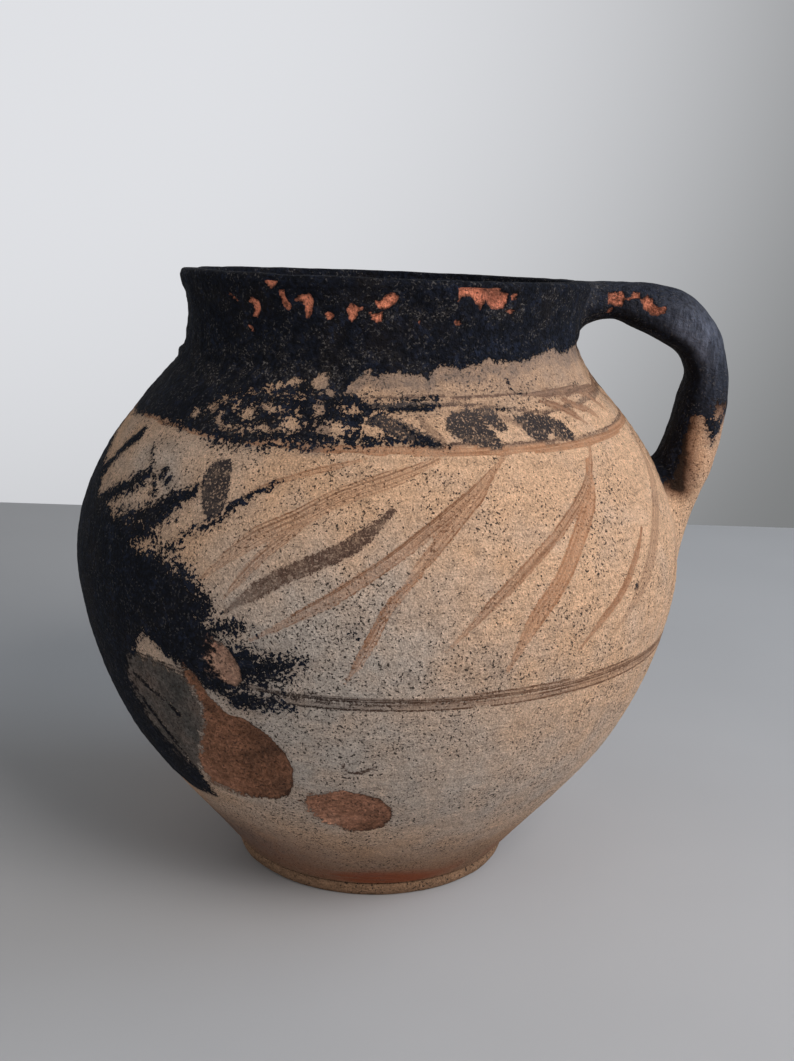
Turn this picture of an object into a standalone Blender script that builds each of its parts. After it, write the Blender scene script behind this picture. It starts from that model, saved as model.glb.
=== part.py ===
"""A one-handled clay cooking pot, thrown in sections and luted together.

Metres, +Z up. The origin is the centre of the foot, on the surface that the pot stands on,
and the handle is on +X. Each thrown or pulled piece of clay is one object:

    base_disc        floor slab with the splayed foot lip, and a rebate that the wall stands in
    lower_wall       foot to belly, bevelled at the top for the belly seam
    shoulder_wall    belly to neck, bevelled at both ends
    neck_collar      upright collar with the rim
    strap_handle     pulled strap, from the collar to the shoulder
    rim_luting       clay worked round the strap's upper end
    shoulder_luting  clay smeared round the strap's lower end and down the shoulder
"""

import math

import bmesh
import bpy
import numpy as np

MM = 0.001

# Driving dimensions
HEIGHT = 238 * MM  # foot to rim
BELLY_RADIUS = 120 * MM
GAP = 0.3 * MM  # slip line left between two luted pieces
TURN_STEPS = 64

# Base disc and the rebate that the wall stands in
FOOT_RADIUS = 54 * MM
LIP_RADIUS = 56 * MM
LIP_HEIGHT = 3.5 * MM
LEDGE_HEIGHT = 6 * MM
LEDGE_RADIUS = 55.2 * MM
FLOOR_RADIUS = 47 * MM
FLOOR_HEIGHT = 9 * MM

# Outer wall, foot to neck, as (share of the height, share of the belly radius)
WALL_STATIONS = (
    (0.026, 0.470),
    (0.084, 0.562),
    (0.168, 0.698),
    (0.252, 0.822),
    (0.336, 0.906),
    (0.445, 0.975),
    (0.546, 1.000),
    (0.630, 0.972),
    (0.714, 0.896),
    (0.798, 0.774),
    (0.874, 0.662),
)
# Wall thickness, as (share of the height, thickness)
THICKNESS_STATIONS = ((0.026, 8.5 * MM), (0.168, 7.5 * MM), (0.445, 6.5 * MM), (0.874, 6.2 * MM))

# Seams: the outer edge's share of the height, and how much higher the inner edge is
BELLY_SEAM = 0.438
NECK_SEAM = 0.874
BEVEL_RISE = 5 * MM
BEVEL_GAP = 0.45 * MM  # measured upright, which leaves about GAP square to the bevel

# Collar, as (share of the height, share of the belly radius), and its thickness
COLLAR_STATIONS = ((0.893, 0.641), (0.924, 0.635), (0.966, 0.645), (0.992, 0.660))
COLLAR_THICKNESS = 6.2 * MM
RIM_ROUNDING = 2 * MM

# The hand-thrown pot isn't quite level: slopes of the neck seam along X and of the rim along Y
LEAN_STARTS = 0.80  # share of the height below which the pot is true
NECK_SLOPE_X = 0.038
RIM_SLOPE_X = -0.005
RIM_SLOPE_Y = -0.073

# Strap handle: centre line in the XZ plane and half thickness, as (x, z, half thickness)
STRAP_STATIONS = (
    (72 * MM, 230.5 * MM, 7.0 * MM),
    (88 * MM, 230.9 * MM, 6.7 * MM),
    (100 * MM, 228.9 * MM, 8.8 * MM),
    (113 * MM, 224.6 * MM, 10.3 * MM),
    (122.5 * MM, 216.5 * MM, 9.0 * MM),
    (127.8 * MM, 204.0 * MM, 8.1 * MM),
    (126.8 * MM, 191.0 * MM, 9.6 * MM),
    (123.8 * MM, 177.0 * MM, 10.3 * MM),
    (119 * MM, 162.5 * MM, 10.6 * MM),
    (109 * MM, 148.0 * MM, 9.5 * MM),
)
STRAP_WIDTH_RATIO = 1.6  # width along Y over thickness

# Luting clay, in the same form as the strap's stations
RIM_LUTING_STATIONS = (
    (66 * MM, 220.5 * MM, 15.5 * MM),
    (78 * MM, 226.3 * MM, 10.6 * MM),
    (90.5 * MM, 230.2 * MM, 7.2 * MM),
)
RIM_LUTING_WIDTH_RATIO = 1.7
SHOULDER_LUTING_STATIONS = (
    (120.5 * MM, 168.0 * MM, 9.5 * MM),
    (118.5 * MM, 161.5 * MM, 11.8 * MM),
    (115.5 * MM, 154.0 * MM, 12.2 * MM),
    (112.5 * MM, 145.0 * MM, 12.8 * MM),
    (109.5 * MM, 137.0 * MM, 14.7 * MM),
    (107 * MM, 128.5 * MM, 16.6 * MM),
    (103 * MM, 119.0 * MM, 16.0 * MM),
)

CLAY = ((0.55, 0.40, 0.27, 1.0), 0.9)
FOOT_CLAY = ((0.50, 0.27, 0.15, 1.0), 0.9)
SOOT = ((0.020, 0.020, 0.025, 1.0), 0.75)
SOOTY_CLAY = ((0.16, 0.11, 0.08, 1.0), 0.85)


def clear_scene():
    for old in list(bpy.data.objects):
        bpy.data.objects.remove(old, do_unlink=True)


def new_collection(name):
    collection = bpy.data.collections.new(name)
    bpy.context.scene.collection.children.link(collection)
    return collection


def clay_material(name, colour, roughness):
    material = bpy.data.materials.new(name)
    material.use_nodes = True
    shader = material.node_tree.nodes["Principled BSDF"]
    shader.inputs["Base Color"].default_value = colour
    shader.inputs["Roughness"].default_value = roughness
    shader.inputs["Metallic"].default_value = 0.0
    material.diffuse_color = colour
    return material


def smooth_value(stations, share):
    """The value at this share of the height, on a smooth curve through the stations."""
    places, values = np.array(stations, dtype=float).T
    slopes = np.gradient(values, places)
    i = int(np.clip(np.searchsorted(places, share) - 1, 0, len(places) - 2))
    span = places[i + 1] - places[i]
    t = (share - places[i]) / span
    start = (1 + 2 * t) * (1 - t) ** 2 * values[i] + t * (1 - t) ** 2 * span * slopes[i]
    end = t * t * (3 - 2 * t) * values[i + 1] - t * t * (1 - t) * span * slopes[i + 1]
    return start + end


def wall_point(share, depth):
    """(radius, height) in the wall: depth 0 is the outer face, 1 the inner face."""
    step = 0.002
    radius = BELLY_RADIUS * smooth_value(WALL_STATIONS, share)
    above = BELLY_RADIUS * smooth_value(WALL_STATIONS, share + step)
    below = BELLY_RADIUS * smooth_value(WALL_STATIONS, share - step)
    slope = (above - below) / (2 * step * HEIGHT)
    inset = depth * smooth_value(THICKNESS_STATIONS, share) / math.hypot(1, slope)
    return radius - inset, share * HEIGHT + inset * slope


def wall_run(first, last, count, depth):
    return [wall_point(share, depth) for share in np.linspace(first, last, count)]


def bevel_edge(seam, raised):
    """The seam's outer and inner edge points, with the piece above raised by the slip line."""
    radius, height = wall_point(seam, 0)
    inner_radius = radius - smooth_value(THICKNESS_STATIONS, seam)
    lift = BEVEL_GAP if raised else 0
    return (radius, height + lift), (inner_radius, height + BEVEL_RISE + lift)


def turned_mesh(name, outline, closed):
    """The outline, (radius, height) points down the outer side, turned about Z by a Screw modifier."""
    profile = bpy.data.meshes.new(name + "_profile")
    edges = [(i, i + 1) for i in range(len(outline) - 1)]
    if closed:
        edges.append((len(outline) - 1, 0))
    profile.from_pydata([(radius, 0, height) for radius, height in outline], edges, [])
    turning = bpy.data.objects.new(name + "_turning", profile)
    bpy.context.scene.collection.objects.link(turning)
    screw = turning.modifiers.new("Turn", "SCREW")
    screw.steps = TURN_STEPS
    screw.render_steps = TURN_STEPS
    screw.use_merge_vertices = True
    screw.merge_threshold = 0.00001
    bpy.context.view_layer.update()
    graph = bpy.context.evaluated_depsgraph_get()
    turned = bpy.data.meshes.new_from_object(turning.evaluated_get(graph))
    bpy.data.objects.remove(turning, do_unlink=True)
    bpy.data.meshes.remove(profile)
    turned.name = name
    return turned


def lean(mesh):
    """Tips the neck seam and the rim, as on a pot that was cut and set down by hand."""
    for vertex in mesh.vertices:
        x, y, z = vertex.co
        share = z / HEIGHT
        slope_x = np.interp(share, (LEAN_STARTS, NECK_SEAM, 1), (0, NECK_SLOPE_X, RIM_SLOPE_X))
        slope_y = np.interp(share, (LEAN_STARTS, NECK_SEAM, 1), (0, 0, RIM_SLOPE_Y))
        vertex.co.z = z + slope_x * x + slope_y * y


def swept_mesh(name, stations, width_ratio, swell):
    """A tube through (x, z, half thickness) stations, widened along Y into a strap."""
    curve = bpy.data.curves.new(name, "CURVE")
    curve.dimensions = "3D"
    curve.resolution_u = 3
    curve.bevel_depth = 1.0
    curve.bevel_resolution = 4
    curve.use_fill_caps = True
    spline = curve.splines.new("BEZIER")
    spline.radius_interpolation = "CARDINAL"
    spline.bezier_points.add(len(stations) - 1)
    for point, (x, z, half) in zip(spline.bezier_points, stations):
        point.co = (x, 0, z)
        point.radius = half + swell
        point.handle_left_type = "AUTO"
        point.handle_right_type = "AUTO"
    sweep = bpy.data.objects.new(name + "_sweep", curve)
    bpy.context.scene.collection.objects.link(sweep)
    bpy.context.view_layer.update()
    graph = bpy.context.evaluated_depsgraph_get()
    mesh = bpy.data.meshes.new_from_object(sweep.evaluated_get(graph))
    mesh.name = name
    bpy.data.objects.remove(sweep, do_unlink=True)
    bpy.data.curves.remove(curve)
    welded = bmesh.new()
    welded.from_mesh(mesh)
    bmesh.ops.remove_doubles(welded, verts=welded.verts, dist=0.00001)
    for vertex in welded.verts:
        vertex.co.y *= width_ratio
    bmesh.ops.recalc_face_normals(welded, faces=welded.faces)
    welded.to_mesh(mesh)
    welded.free()
    return mesh


def place(mesh, collection, look):
    """Makes the mesh an object named after it, smooth-shaded, with its own material."""
    colour, roughness = look
    mesh.materials.clear()
    mesh.materials.append(clay_material(mesh.name, colour, roughness))
    mesh.shade_smooth()
    mesh.set_sharp_from_angle(angle=math.radians(40))
    piece = bpy.data.objects.new(mesh.name, mesh)
    collection.objects.link(piece)
    return piece


def place_cutter(mesh, collection):
    cutter = bpy.data.objects.new(mesh.name, mesh)
    collection.objects.link(cutter)
    cutter.hide_render = True
    cutter.display_type = "WIRE"
    return cutter


def cut(piece, cutter):
    boolean = piece.modifiers.new("Cut by " + cutter.name, "BOOLEAN")
    boolean.operation = "DIFFERENCE"
    boolean.solver = "EXACT"
    boolean.object = cutter


def base_disc(collection):
    outline = [
        (0, FLOOR_HEIGHT),
        (FLOOR_RADIUS, FLOOR_HEIGHT),
        (FLOOR_RADIUS, LEDGE_HEIGHT),
        (LEDGE_RADIUS, LEDGE_HEIGHT),
        (LIP_RADIUS, LIP_HEIGHT),
        (FOOT_RADIUS, 0),
        (0, 0),
    ]
    return place(turned_mesh("base_disc", outline, closed=False), collection, FOOT_CLAY)


def lower_wall(collection):
    outer_edge, inner_edge = bevel_edge(BELLY_SEAM, raised=False)
    stand = LEDGE_HEIGHT + GAP
    outline = [
        outer_edge,
        *wall_run(BELLY_SEAM - 0.045, 0.038, 9, depth=0),
        (LEDGE_RADIUS, stand),
        (FLOOR_RADIUS + GAP, stand),
        (FLOOR_RADIUS + GAP, FLOOR_HEIGHT),
        *wall_run(0.050, BELLY_SEAM - 0.045, 8, depth=1),
        inner_edge,
    ]
    return place(turned_mesh("lower_wall", outline, closed=True), collection, CLAY)


def shoulder_wall(collection):
    belly_outer, belly_inner = bevel_edge(BELLY_SEAM, raised=True)
    neck_outer, neck_inner = bevel_edge(NECK_SEAM, raised=False)
    outline = [
        neck_outer,
        *wall_run(NECK_SEAM - 0.035, BELLY_SEAM + 0.045, 9, depth=0),
        belly_outer,
        belly_inner,
        *wall_run(BELLY_SEAM + 0.070, NECK_SEAM - 0.035, 8, depth=1),
        neck_inner,
    ]
    mesh = turned_mesh("shoulder_wall", outline, closed=True)
    lean(mesh)
    return place(mesh, collection, CLAY)


def neck_collar(collection):
    seam_outer, seam_inner = bevel_edge(NECK_SEAM, raised=True)
    outer = [
        (BELLY_RADIUS * smooth_value(COLLAR_STATIONS, share), HEIGHT * share)
        for share in np.linspace(COLLAR_STATIONS[-1][0], COLLAR_STATIONS[0][0], 5)
    ]
    inner = [(radius - COLLAR_THICKNESS, height) for radius, height in outer[3::-1]]
    rim_radius = outer[0][0]
    outline = [
        (rim_radius - COLLAR_THICKNESS + RIM_ROUNDING, HEIGHT),
        (rim_radius - RIM_ROUNDING, HEIGHT),
        *outer,
        seam_outer,
        seam_inner,
        *inner,
    ]
    mesh = turned_mesh("neck_collar", outline, closed=True)
    lean(mesh)
    return place(mesh, collection, SOOT)


def body_clearance(collection):
    """The pot's outside as one solid, swollen by the slip line, to trim the handle's pieces."""
    above_rim = HEIGHT + 10 * MM
    collar = [
        (BELLY_RADIUS * smooth_value(COLLAR_STATIONS, share) + GAP, HEIGHT * share)
        for share in np.linspace(COLLAR_STATIONS[-1][0], COLLAR_STATIONS[0][0], 5)
    ]
    wall = [(radius + GAP, height) for radius, height in wall_run(NECK_SEAM, 0.30, 16, depth=0)]
    outline = [(0, above_rim), (collar[0][0], above_rim), *collar, *wall, (0, wall[-1][1])]
    mesh = turned_mesh("body_clearance", outline, closed=False)
    lean(mesh)
    return place_cutter(mesh, collection)


def strap_clearance(collection):
    mesh = swept_mesh("strap_clearance", STRAP_STATIONS, STRAP_WIDTH_RATIO, swell=GAP)
    return place_cutter(mesh, collection)


def strap_handle(collection, body):
    mesh = swept_mesh("strap_handle", STRAP_STATIONS, STRAP_WIDTH_RATIO, swell=0)
    piece = place(mesh, collection, SOOTY_CLAY)
    cut(piece, body)


def luting(name, stations, width_ratio, look, collection, body, strap):
    piece = place(swept_mesh(name, stations, width_ratio, swell=0), collection, look)
    cut(piece, body)
    cut(piece, strap)


def main():
    clear_scene()
    pot = new_collection("Clay cooking pot")
    cutters = new_collection("Cutters")
    base_disc(pot)
    lower_wall(pot)
    shoulder_wall(pot)
    neck_collar(pot)
    body = body_clearance(cutters)
    strap = strap_clearance(cutters)
    strap_handle(pot, body)
    luting("rim_luting", RIM_LUTING_STATIONS, RIM_LUTING_WIDTH_RATIO, SOOT, pot, body, strap)
    luting(
        "shoulder_luting",
        SHOULDER_LUTING_STATIONS,
        STRAP_WIDTH_RATIO,
        SOOTY_CLAY,
        pot,
        body,
        strap,
    )


main()
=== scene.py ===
"""The looks of the clay cooking pot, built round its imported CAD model.

Every visible piece is a dense mesh on the CAD's own outline, with throwing ridges, spalls and crusted
soot in its geometry. Where the soot, painting, chips and tints lie is worked out here from named marks,
each placed by its azimuth round the pot and its height, and stored on the mesh as smooth fields. One
procedural material reads those fields and adds the fine grain. Azimuth 0 faces -Y, towards the camera,
and 90 is the handle at +X.
"""

import math
from types import SimpleNamespace

import bpy
import numpy as np
from mathutils import Matrix, Vector


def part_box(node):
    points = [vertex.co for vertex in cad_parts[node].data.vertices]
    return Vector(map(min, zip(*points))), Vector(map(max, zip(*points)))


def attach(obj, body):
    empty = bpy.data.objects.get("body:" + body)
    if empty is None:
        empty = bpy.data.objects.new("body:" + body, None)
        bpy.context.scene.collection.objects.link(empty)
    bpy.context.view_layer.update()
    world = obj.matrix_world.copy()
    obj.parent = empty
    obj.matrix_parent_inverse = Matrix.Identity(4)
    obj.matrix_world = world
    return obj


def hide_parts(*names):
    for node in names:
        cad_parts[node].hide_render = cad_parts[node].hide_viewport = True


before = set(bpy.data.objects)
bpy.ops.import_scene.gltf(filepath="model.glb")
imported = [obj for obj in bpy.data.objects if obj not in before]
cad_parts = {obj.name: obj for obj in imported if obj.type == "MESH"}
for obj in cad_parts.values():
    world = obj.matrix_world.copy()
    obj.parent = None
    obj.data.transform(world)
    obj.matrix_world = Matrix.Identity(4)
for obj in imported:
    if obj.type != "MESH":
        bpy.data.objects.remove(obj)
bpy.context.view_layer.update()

MM = 0.001

# The pot's outline, the same as the CAD's: shares of the height and of the belly's radius
BELLY_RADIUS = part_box("shoulder_wall")[1].y
HEIGHT = 238 * MM
NECK_SHARE = 0.874
WALL_STATIONS = (
    (0.026, 0.470), (0.084, 0.562), (0.168, 0.698), (0.252, 0.822), (0.336, 0.906), (0.445, 0.975),
    (0.546, 1.000), (0.630, 0.972), (0.714, 0.896), (0.798, 0.774), (NECK_SHARE, 0.662),
)
COLLAR_STATIONS = ((0.893, 0.641), (0.924, 0.635), (0.966, 0.645), (0.992, 0.660))
THICKNESS_STATIONS = ((0.026, 8.5 * MM), (0.168, 7.5 * MM), (0.445, 6.5 * MM), (NECK_SHARE, 6.2 * MM))
COLLAR_COUNTS_FROM = 0.80  # share of the height where the collar's outline starts to count
WALL_COUNTS_TO = 0.9  # and where the wall's stops
FLOOR_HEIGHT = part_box("base_disc")[1].z
LIP_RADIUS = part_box("base_disc")[1].x
FOOT_SEAM = 6.2 * MM
BELLY_SEAM = 0.438 * HEIGHT + 0.4 * MM
NECK_SEAM = NECK_SHARE * HEIGHT
RIM_ROUNDING = 2.2 * MM
NECK_FILLET = 0.9 * MM

# Slopes of the neck seam and of the rim, which aren't level
LEAN_STARTS = 0.80
NECK_SLOPE_X = 0.038
RIM_SLOPE_X = -0.005
RIM_SLOPE_Y = -0.073

# Meshes
ROUND_STEPS = 640
AZIMUTHS = np.linspace(-180, 180, ROUND_STEPS, endpoint=False)
ROW_STEP = 1.1 * MM
COLLAR_ROW_STEP = 0.8 * MM
INNER_ROW_STEP = 5 * MM
FLAT_RADIUS = 105 * MM  # radius at which the pot's surface is unrolled to lay out its marks
FAR = 20.0  # mm, the value a field has well away from its marks


# ---------------------------------------------------------------- outline


def through(stations, at):
    """A smooth curve through the stations, carried on straight beyond its ends."""
    places, values = np.array(stations, dtype=float).T
    slopes = np.gradient(values, places)
    at = np.asarray(at, dtype=float)
    held = np.clip(at, places[0], places[-1])
    i = np.clip(np.searchsorted(places, held) - 1, 0, len(places) - 2)
    span = places[i + 1] - places[i]
    t = (held - places[i]) / span
    start = (1 + 2 * t) * (1 - t) ** 2 * values[i] + t * (1 - t) ** 2 * span * slopes[i]
    end = t * t * (3 - 2 * t) * values[i + 1] - t * t * (1 - t) * span * slopes[i + 1]
    end_slope = np.where(at > held, slopes[-1], slopes[0])
    return start + end + (at - held) * end_slope


def outer_radius(height):
    """Wall and collar as one outline, with a small fillet where they meet at the neck."""
    share = np.asarray(height, dtype=float) / HEIGHT
    wall = BELLY_RADIUS * through(WALL_STATIONS, share)
    collar = BELLY_RADIUS * through(COLLAR_STATIONS, share)
    filleted = 0.5 * (wall + collar + np.sqrt((wall - collar) ** 2 + NECK_FILLET**2))
    filleted = np.maximum(filleted, np.where(share < WALL_COUNTS_TO, wall, 0))
    return np.where(share > COLLAR_COUNTS_FROM, filleted, wall)


def outer_slope(height):
    step = 0.3 * MM
    return (outer_radius(height + step) - outer_radius(height - step)) / (2 * step)


ARC_HEIGHTS = np.linspace(0, HEIGHT, 800)
ARC_LENGTHS = np.concatenate(
    ([0], np.cumsum(np.hypot(np.diff(ARC_HEIGHTS), np.diff(outer_radius(ARC_HEIGHTS)))))
)


def arc_length(height):
    """Length up the outer surface from the foot to this height."""
    return np.interp(height, ARC_HEIGHTS, ARC_LENGTHS)


def lean(points):
    """The neck seam and the rim aren't level, as in the CAD."""
    x, y, z = points[..., 0], points[..., 1], points[..., 2]
    places = (LEAN_STARTS, NECK_SHARE, 1)
    slope_x = np.interp(z / HEIGHT, places, (0, NECK_SLOPE_X, RIM_SLOPE_X))
    slope_y = np.interp(z / HEIGHT, places, (0, 0, RIM_SLOPE_Y))
    return np.stack([x, y, z + slope_x * x + slope_y * y], axis=-1)


# ---------------------------------------------------------------- noise


def lattice(cells, seed):
    """One steady random number, -1 to 1, for each integer cell."""
    cells = cells.astype(np.int64)
    mixed = cells[..., 0] * 374761393 + cells[..., 1] * 668265263 + cells[..., 2] * 1442695041
    mixed = (mixed + seed * 974634777) & 0xFFFFFFFF
    mixed = ((mixed ^ (mixed >> 13)) * 1274126177) & 0xFFFFFFFF
    mixed = ((mixed ^ (mixed >> 15)) * 2246822519) & 0xFFFFFFFF
    return (mixed ^ (mixed >> 16)) / 2147483647.5 - 1


def soft_noise(points, size, seed):
    """Value noise, -1 to 1, with features about this size."""
    scaled = np.asarray(points) / size
    low = np.floor(scaled)
    t = scaled - low
    t = t * t * (3 - 2 * t)
    total = 0
    for dx in (0, 1):
        for dy in (0, 1):
            for dz in (0, 1):
                share = (
                    np.abs(1 - dx - t[..., 0]) * np.abs(1 - dy - t[..., 1]) * np.abs(1 - dz - t[..., 2])
                )
                total = total + share * lattice(low + (dx, dy, dz), seed)
    return total


def layered_noise(points, size, seed, layers=3):
    total = 0
    for layer in range(layers):
        total = total + soft_noise(points, size / 2**layer, seed + layer) / 2**layer
    return total / 1.6


def smoothstep(low, high, value):
    t = np.clip((value - low) / (high - low), 0, 1)
    return t * t * (3 - 2 * t)


# ---------------------------------------------------------------- marks on the unrolled surface


def unroll(azimuth, height):
    """Millimetres round and up the surface, for azimuths in degrees and heights in millimetres."""
    around = np.radians(azimuth) * FLAT_RADIUS / MM
    up = arc_length(np.asarray(height, dtype=float) * MM) / MM
    return np.stack(np.broadcast_arrays(around, up), axis=-1)


def smooth_path(marks, steps=8):
    """Points on a smooth curve through the marks."""
    marks = np.asarray(marks, dtype=float)
    before = np.vstack([2 * marks[0] - marks[1], marks, 2 * marks[-1] - marks[-2]])
    runs = []
    for a, b, c, d in zip(before, before[1:], before[2:], before[3:]):
        t = np.linspace(0, 1, steps, endpoint=False)[:, None]
        curve = 2 * b + (c - a) * t + (2 * a - 5 * b + 4 * c - d) * t**2
        runs.append(0.5 * (curve + (3 * b - a - 3 * c + d) * t**3))
    return np.vstack([*runs, marks[-1:]])


def path_fields(points, path):
    """Distance from each point to the path, its signed side, and how far along it lies."""
    distance = np.full(len(points), 1e9)
    side = np.zeros(len(points))
    along = np.zeros(len(points))
    passed = 0.0
    for start, end in zip(path, path[1:]):
        run = end - start
        length = float(np.hypot(*run))
        offset = points - start
        t = np.clip(offset @ run / length**2, 0, 1)
        away = offset - t[:, None] * run
        gap = np.hypot(away[:, 0], away[:, 1])
        nearer = gap < distance
        distance = np.where(nearer, gap, distance)
        turn = (run[0] * offset[:, 1] - run[1] * offset[:, 0]) / length
        side = np.where(nearer, turn, side)
        along = np.where(nearer, passed + t * length, along)
        passed += length
    return distance, side, along / passed


def patch_depth(points, outline):
    """How deep each point lies inside the closed outline, negative outside."""
    distance = np.full(len(points), 1e9)
    inside = np.zeros(len(points), dtype=bool)
    for start, end in zip(outline, np.roll(outline, -1, axis=0)):
        run = end - start
        offset = points - start
        t = np.clip(offset @ run / (run @ run), 0, 1)
        away = offset - t[:, None] * run
        distance = np.minimum(distance, np.hypot(away[:, 0], away[:, 1]))
        crosses = (start[1] > points[:, 1]) != (end[1] > points[:, 1])
        rise = run[1] if abs(run[1]) > 1e-9 else 1e-9
        inside ^= crosses & (offset[:, 0] < run[0] * (points[:, 1] - start[1]) / rise)
    return np.where(inside, distance, -distance)


# Painted strokes of thin slip between the two bands: path, half width in mm, strength, warmth, streaks
FEATHER_STROKES = (
    (((-2, 185), (-9, 182), (-15, 179), (-22, 174), (-26, 169)), 1.2, 0.85, 1.0, 0.9),
    (((12, 185), (4, 180), (-6, 174), (-13, 167), (-20, 160), (-24, 154),
     (-30, 143)), 3.4, 0.90, 0.85, 1.0),
    (((-10, 169), (-15, 161), (-20, 151), (-25, 138)), 1.8, 0.90, 0.9, 1.0),
    (((3, 170), (0, 165), (-4, 159), (-9, 154), (-15, 148), (-20, 141), (-25, 133)), 2.8, 0.90, 0.14, 0.1),
    (((27, 186), (19, 176), (10, 165), (2, 154), (-9, 139), (-20, 125)), 2.3, 1.0, 0.70, 0.75),
    (((23, 180), (16, 169), (9, 156), (5, 147)), 2.2, 0.95, 0.85, 0.8),
    (((8, 151), (3, 141), (0, 129), (-4, 113)), 1.7, 0.90, 1.0, 0.8),
    (((52, 186), (46, 176), (37, 165), (27, 152), (20, 141), (12, 125)), 1.9, 1.0, 0.70, 0.6),
    (((48, 181), (44, 170), (38, 158), (33, 146), (27, 132), (23, 116)), 3.1, 0.95, 0.95, 0.45),
    (((57, 156), (52, 146), (47, 136), (41, 127), (37, 119)), 1.6, 1.0, 0.75, 0.3),
    (((41, 200), (46, 198), (51, 195), (55, 191)), 1.5, 1.0, 0.55, 0.3),
    (((48, 200), (54, 197), (60, 194), (63, 190)), 1.4, 0.95, 0.60, 0.3),
    (((57, 201), (64, 198), (69, 194), (71, 191)), 1.1, 0.9, 0.65, 0.3),
    (((-5, 80), (-4, 77), (-3, 75.5), (-1, 76), (2, 79)), 0.6, 0.8, 0.1, 0.0),
    (((52, 135), (52, 138)), 1.3, 1.0, 0.0, 0.0),
    (((24, 121), (25, 123)), 0.9, 1.0, 0.0, 0.0),
)
# The same hand went on round the far side
FAR_STROKES_FROM = 82
FAR_STROKES_TO = 282
FAR_STROKE_STEP = 13

# Dark grey masses of slip, grainy and thick: outlines in (azimuth, height)
DARK_PATCHES = (
    ((-4, 199.4), (4, 199.8), (10, 200), (14, 200.4), (14, 202), (8, 202.3), (0, 202.2), (-4, 202.4)),
    ((-4, 196), (0, 194.5), (3, 192), (6, 190.5), (10, 190), (13, 188), (14, 189.5), (11, 192.5), (7, 195),
     (4, 197.5), (-1, 198.6)),
    ((16, 198.5), (20, 200), (23, 199), (24.5, 195), (26.5, 191), (28, 188), (25, 186.5), (20, 189),
     (16, 192), (14.5, 195)),
    ((22, 200), (27, 199.5), (28.5, 196), (29.5, 193), (27.5, 192.5), (25, 195), (23, 197.5)),
    ((31, 196), (35, 197), (41, 196), (45.5, 193.5), (48, 189.5), (47, 187.5), (43, 188), (40.5, 191),
     (39, 189),
     (36, 189), (33.5, 192.5)),
    ((-35, 173), (-35, 177), (-33.5, 180.5), (-30.5, 181), (-29, 178.5), (-28.6, 174), (-28, 169),
     (-28.3, 164),
     (-30, 162.5), (-32, 164), (-33.5, 168)),
)
# Dabs between the shoulder's lines on the near side: path, half width in mm, darkness
BAND_DABS = (
    (((9, 198), (12, 193), (15, 189)), 1.6, 0.6),
    (((6, 192), (9, 190), (14, 188)), 1.2, 0.9),
    (((29, 197), (33, 194), (37, 191)), 1.2, 0.5),
)
# Heights of the painted lines round the pot, by azimuth
UPPER_LINE = ((-180, 203.5), (19, 203.4), (36, 202.4), (59, 201), (76, 199.5), (110, 202), (180, 203.5))
MIDDLE_LINE = ((-180, 199.6), (-20, 201), (19, 201), (27, 200), (34, 198.2), (42, 196.5), (60, 198),
(180, 199.6))
BAND_EDGE = ((-180, 188.8), (5, 190), (22, 189.3), (50, 188), (75, 188.8), (180, 188.8))

# Soot: closed outlines in (azimuth, height). The pot is black above the soot line and on its left flank.
SOOT_LINE = (
    (-180, 190), (-135, 180), (-100, 182), (-72, 186), (-56, 187), (-41, 187), (-37, 185), (-30, 185),
    (-26, 187), (-20, 188), (-12, 189), (-9, 204), (-7, 208.5), (-3, 211.5), (-1, 209.5), (5, 210.5),
    (12, 209), (15, 213), (21, 211.5), (27, 212.5), (29, 214.5), (31, 212.5), (42, 212.3), (48, 213.5),
    (54, 215), (58, 212.5), (70, 213), (100, 211), (130, 202), (180, 190),
)
SOOT_PATCHES = (
    # left flank, from the far side round to the spalls
    ((-150, 172), (-128, 182), (-100, 182), (-88, 178), (-80, 174), (-74, 169), (-68, 163), (-66, 158),
     (-62, 160), (-57, 155), (-50, 157), (-44, 158), (-41, 157), (-40, 151), (-36, 147), (-32, 146),
     (-30, 143), (-29, 140), (-27, 137),
     (-27, 132), (-28, 128), (-25, 131), (-22, 131.5), (-20, 129), (-24, 127), (-26, 124), (-23, 122),
     (-17, 121), (-13, 122), (-11, 120), (-13, 114), (-17, 110), (-21, 107), (-25, 101), (-29, 103),
     (-33, 108), (-38, 112), (-43, 117), (-45, 113), (-48, 104), (-48.5, 93), (-48, 84), (-46.5, 75),
     (-43.5, 69),
     (-40.5, 66), (-38.5, 60), (-39, 52), (-40, 47), (-50, 44), (-62, 47), (-80, 55), (-110, 68),
     (-138, 92),
     (-152, 130)),
    # a broad sooted stroke above it
    ((-34.5, 174), (-38, 170), (-44, 164.5), (-50, 159), (-56, 157), (-48, 154), (-41, 156), (-38, 164),
     (-34.5, 169)),
    # crumbs below the belly band
    ((-26, 104), (-22, 104.5), (-14, 104), (-13, 101), (-17, 99.5), (-21, 97.5), (-25, 98)),
    # crust left in the painted shoulder band
    ((-24, 187), (-12, 188), (-4, 189), (2, 190), (0, 191.5), (-4, 193), (-3, 197), (0, 199.5), (5, 200.3),
     (0, 201.6), (-6, 204), (-20, 205)),
    # the far side
    ((150, 176), (176, 181), (205, 172), (214, 140), (196, 118), (172, 128), (158, 150)),
)
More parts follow.
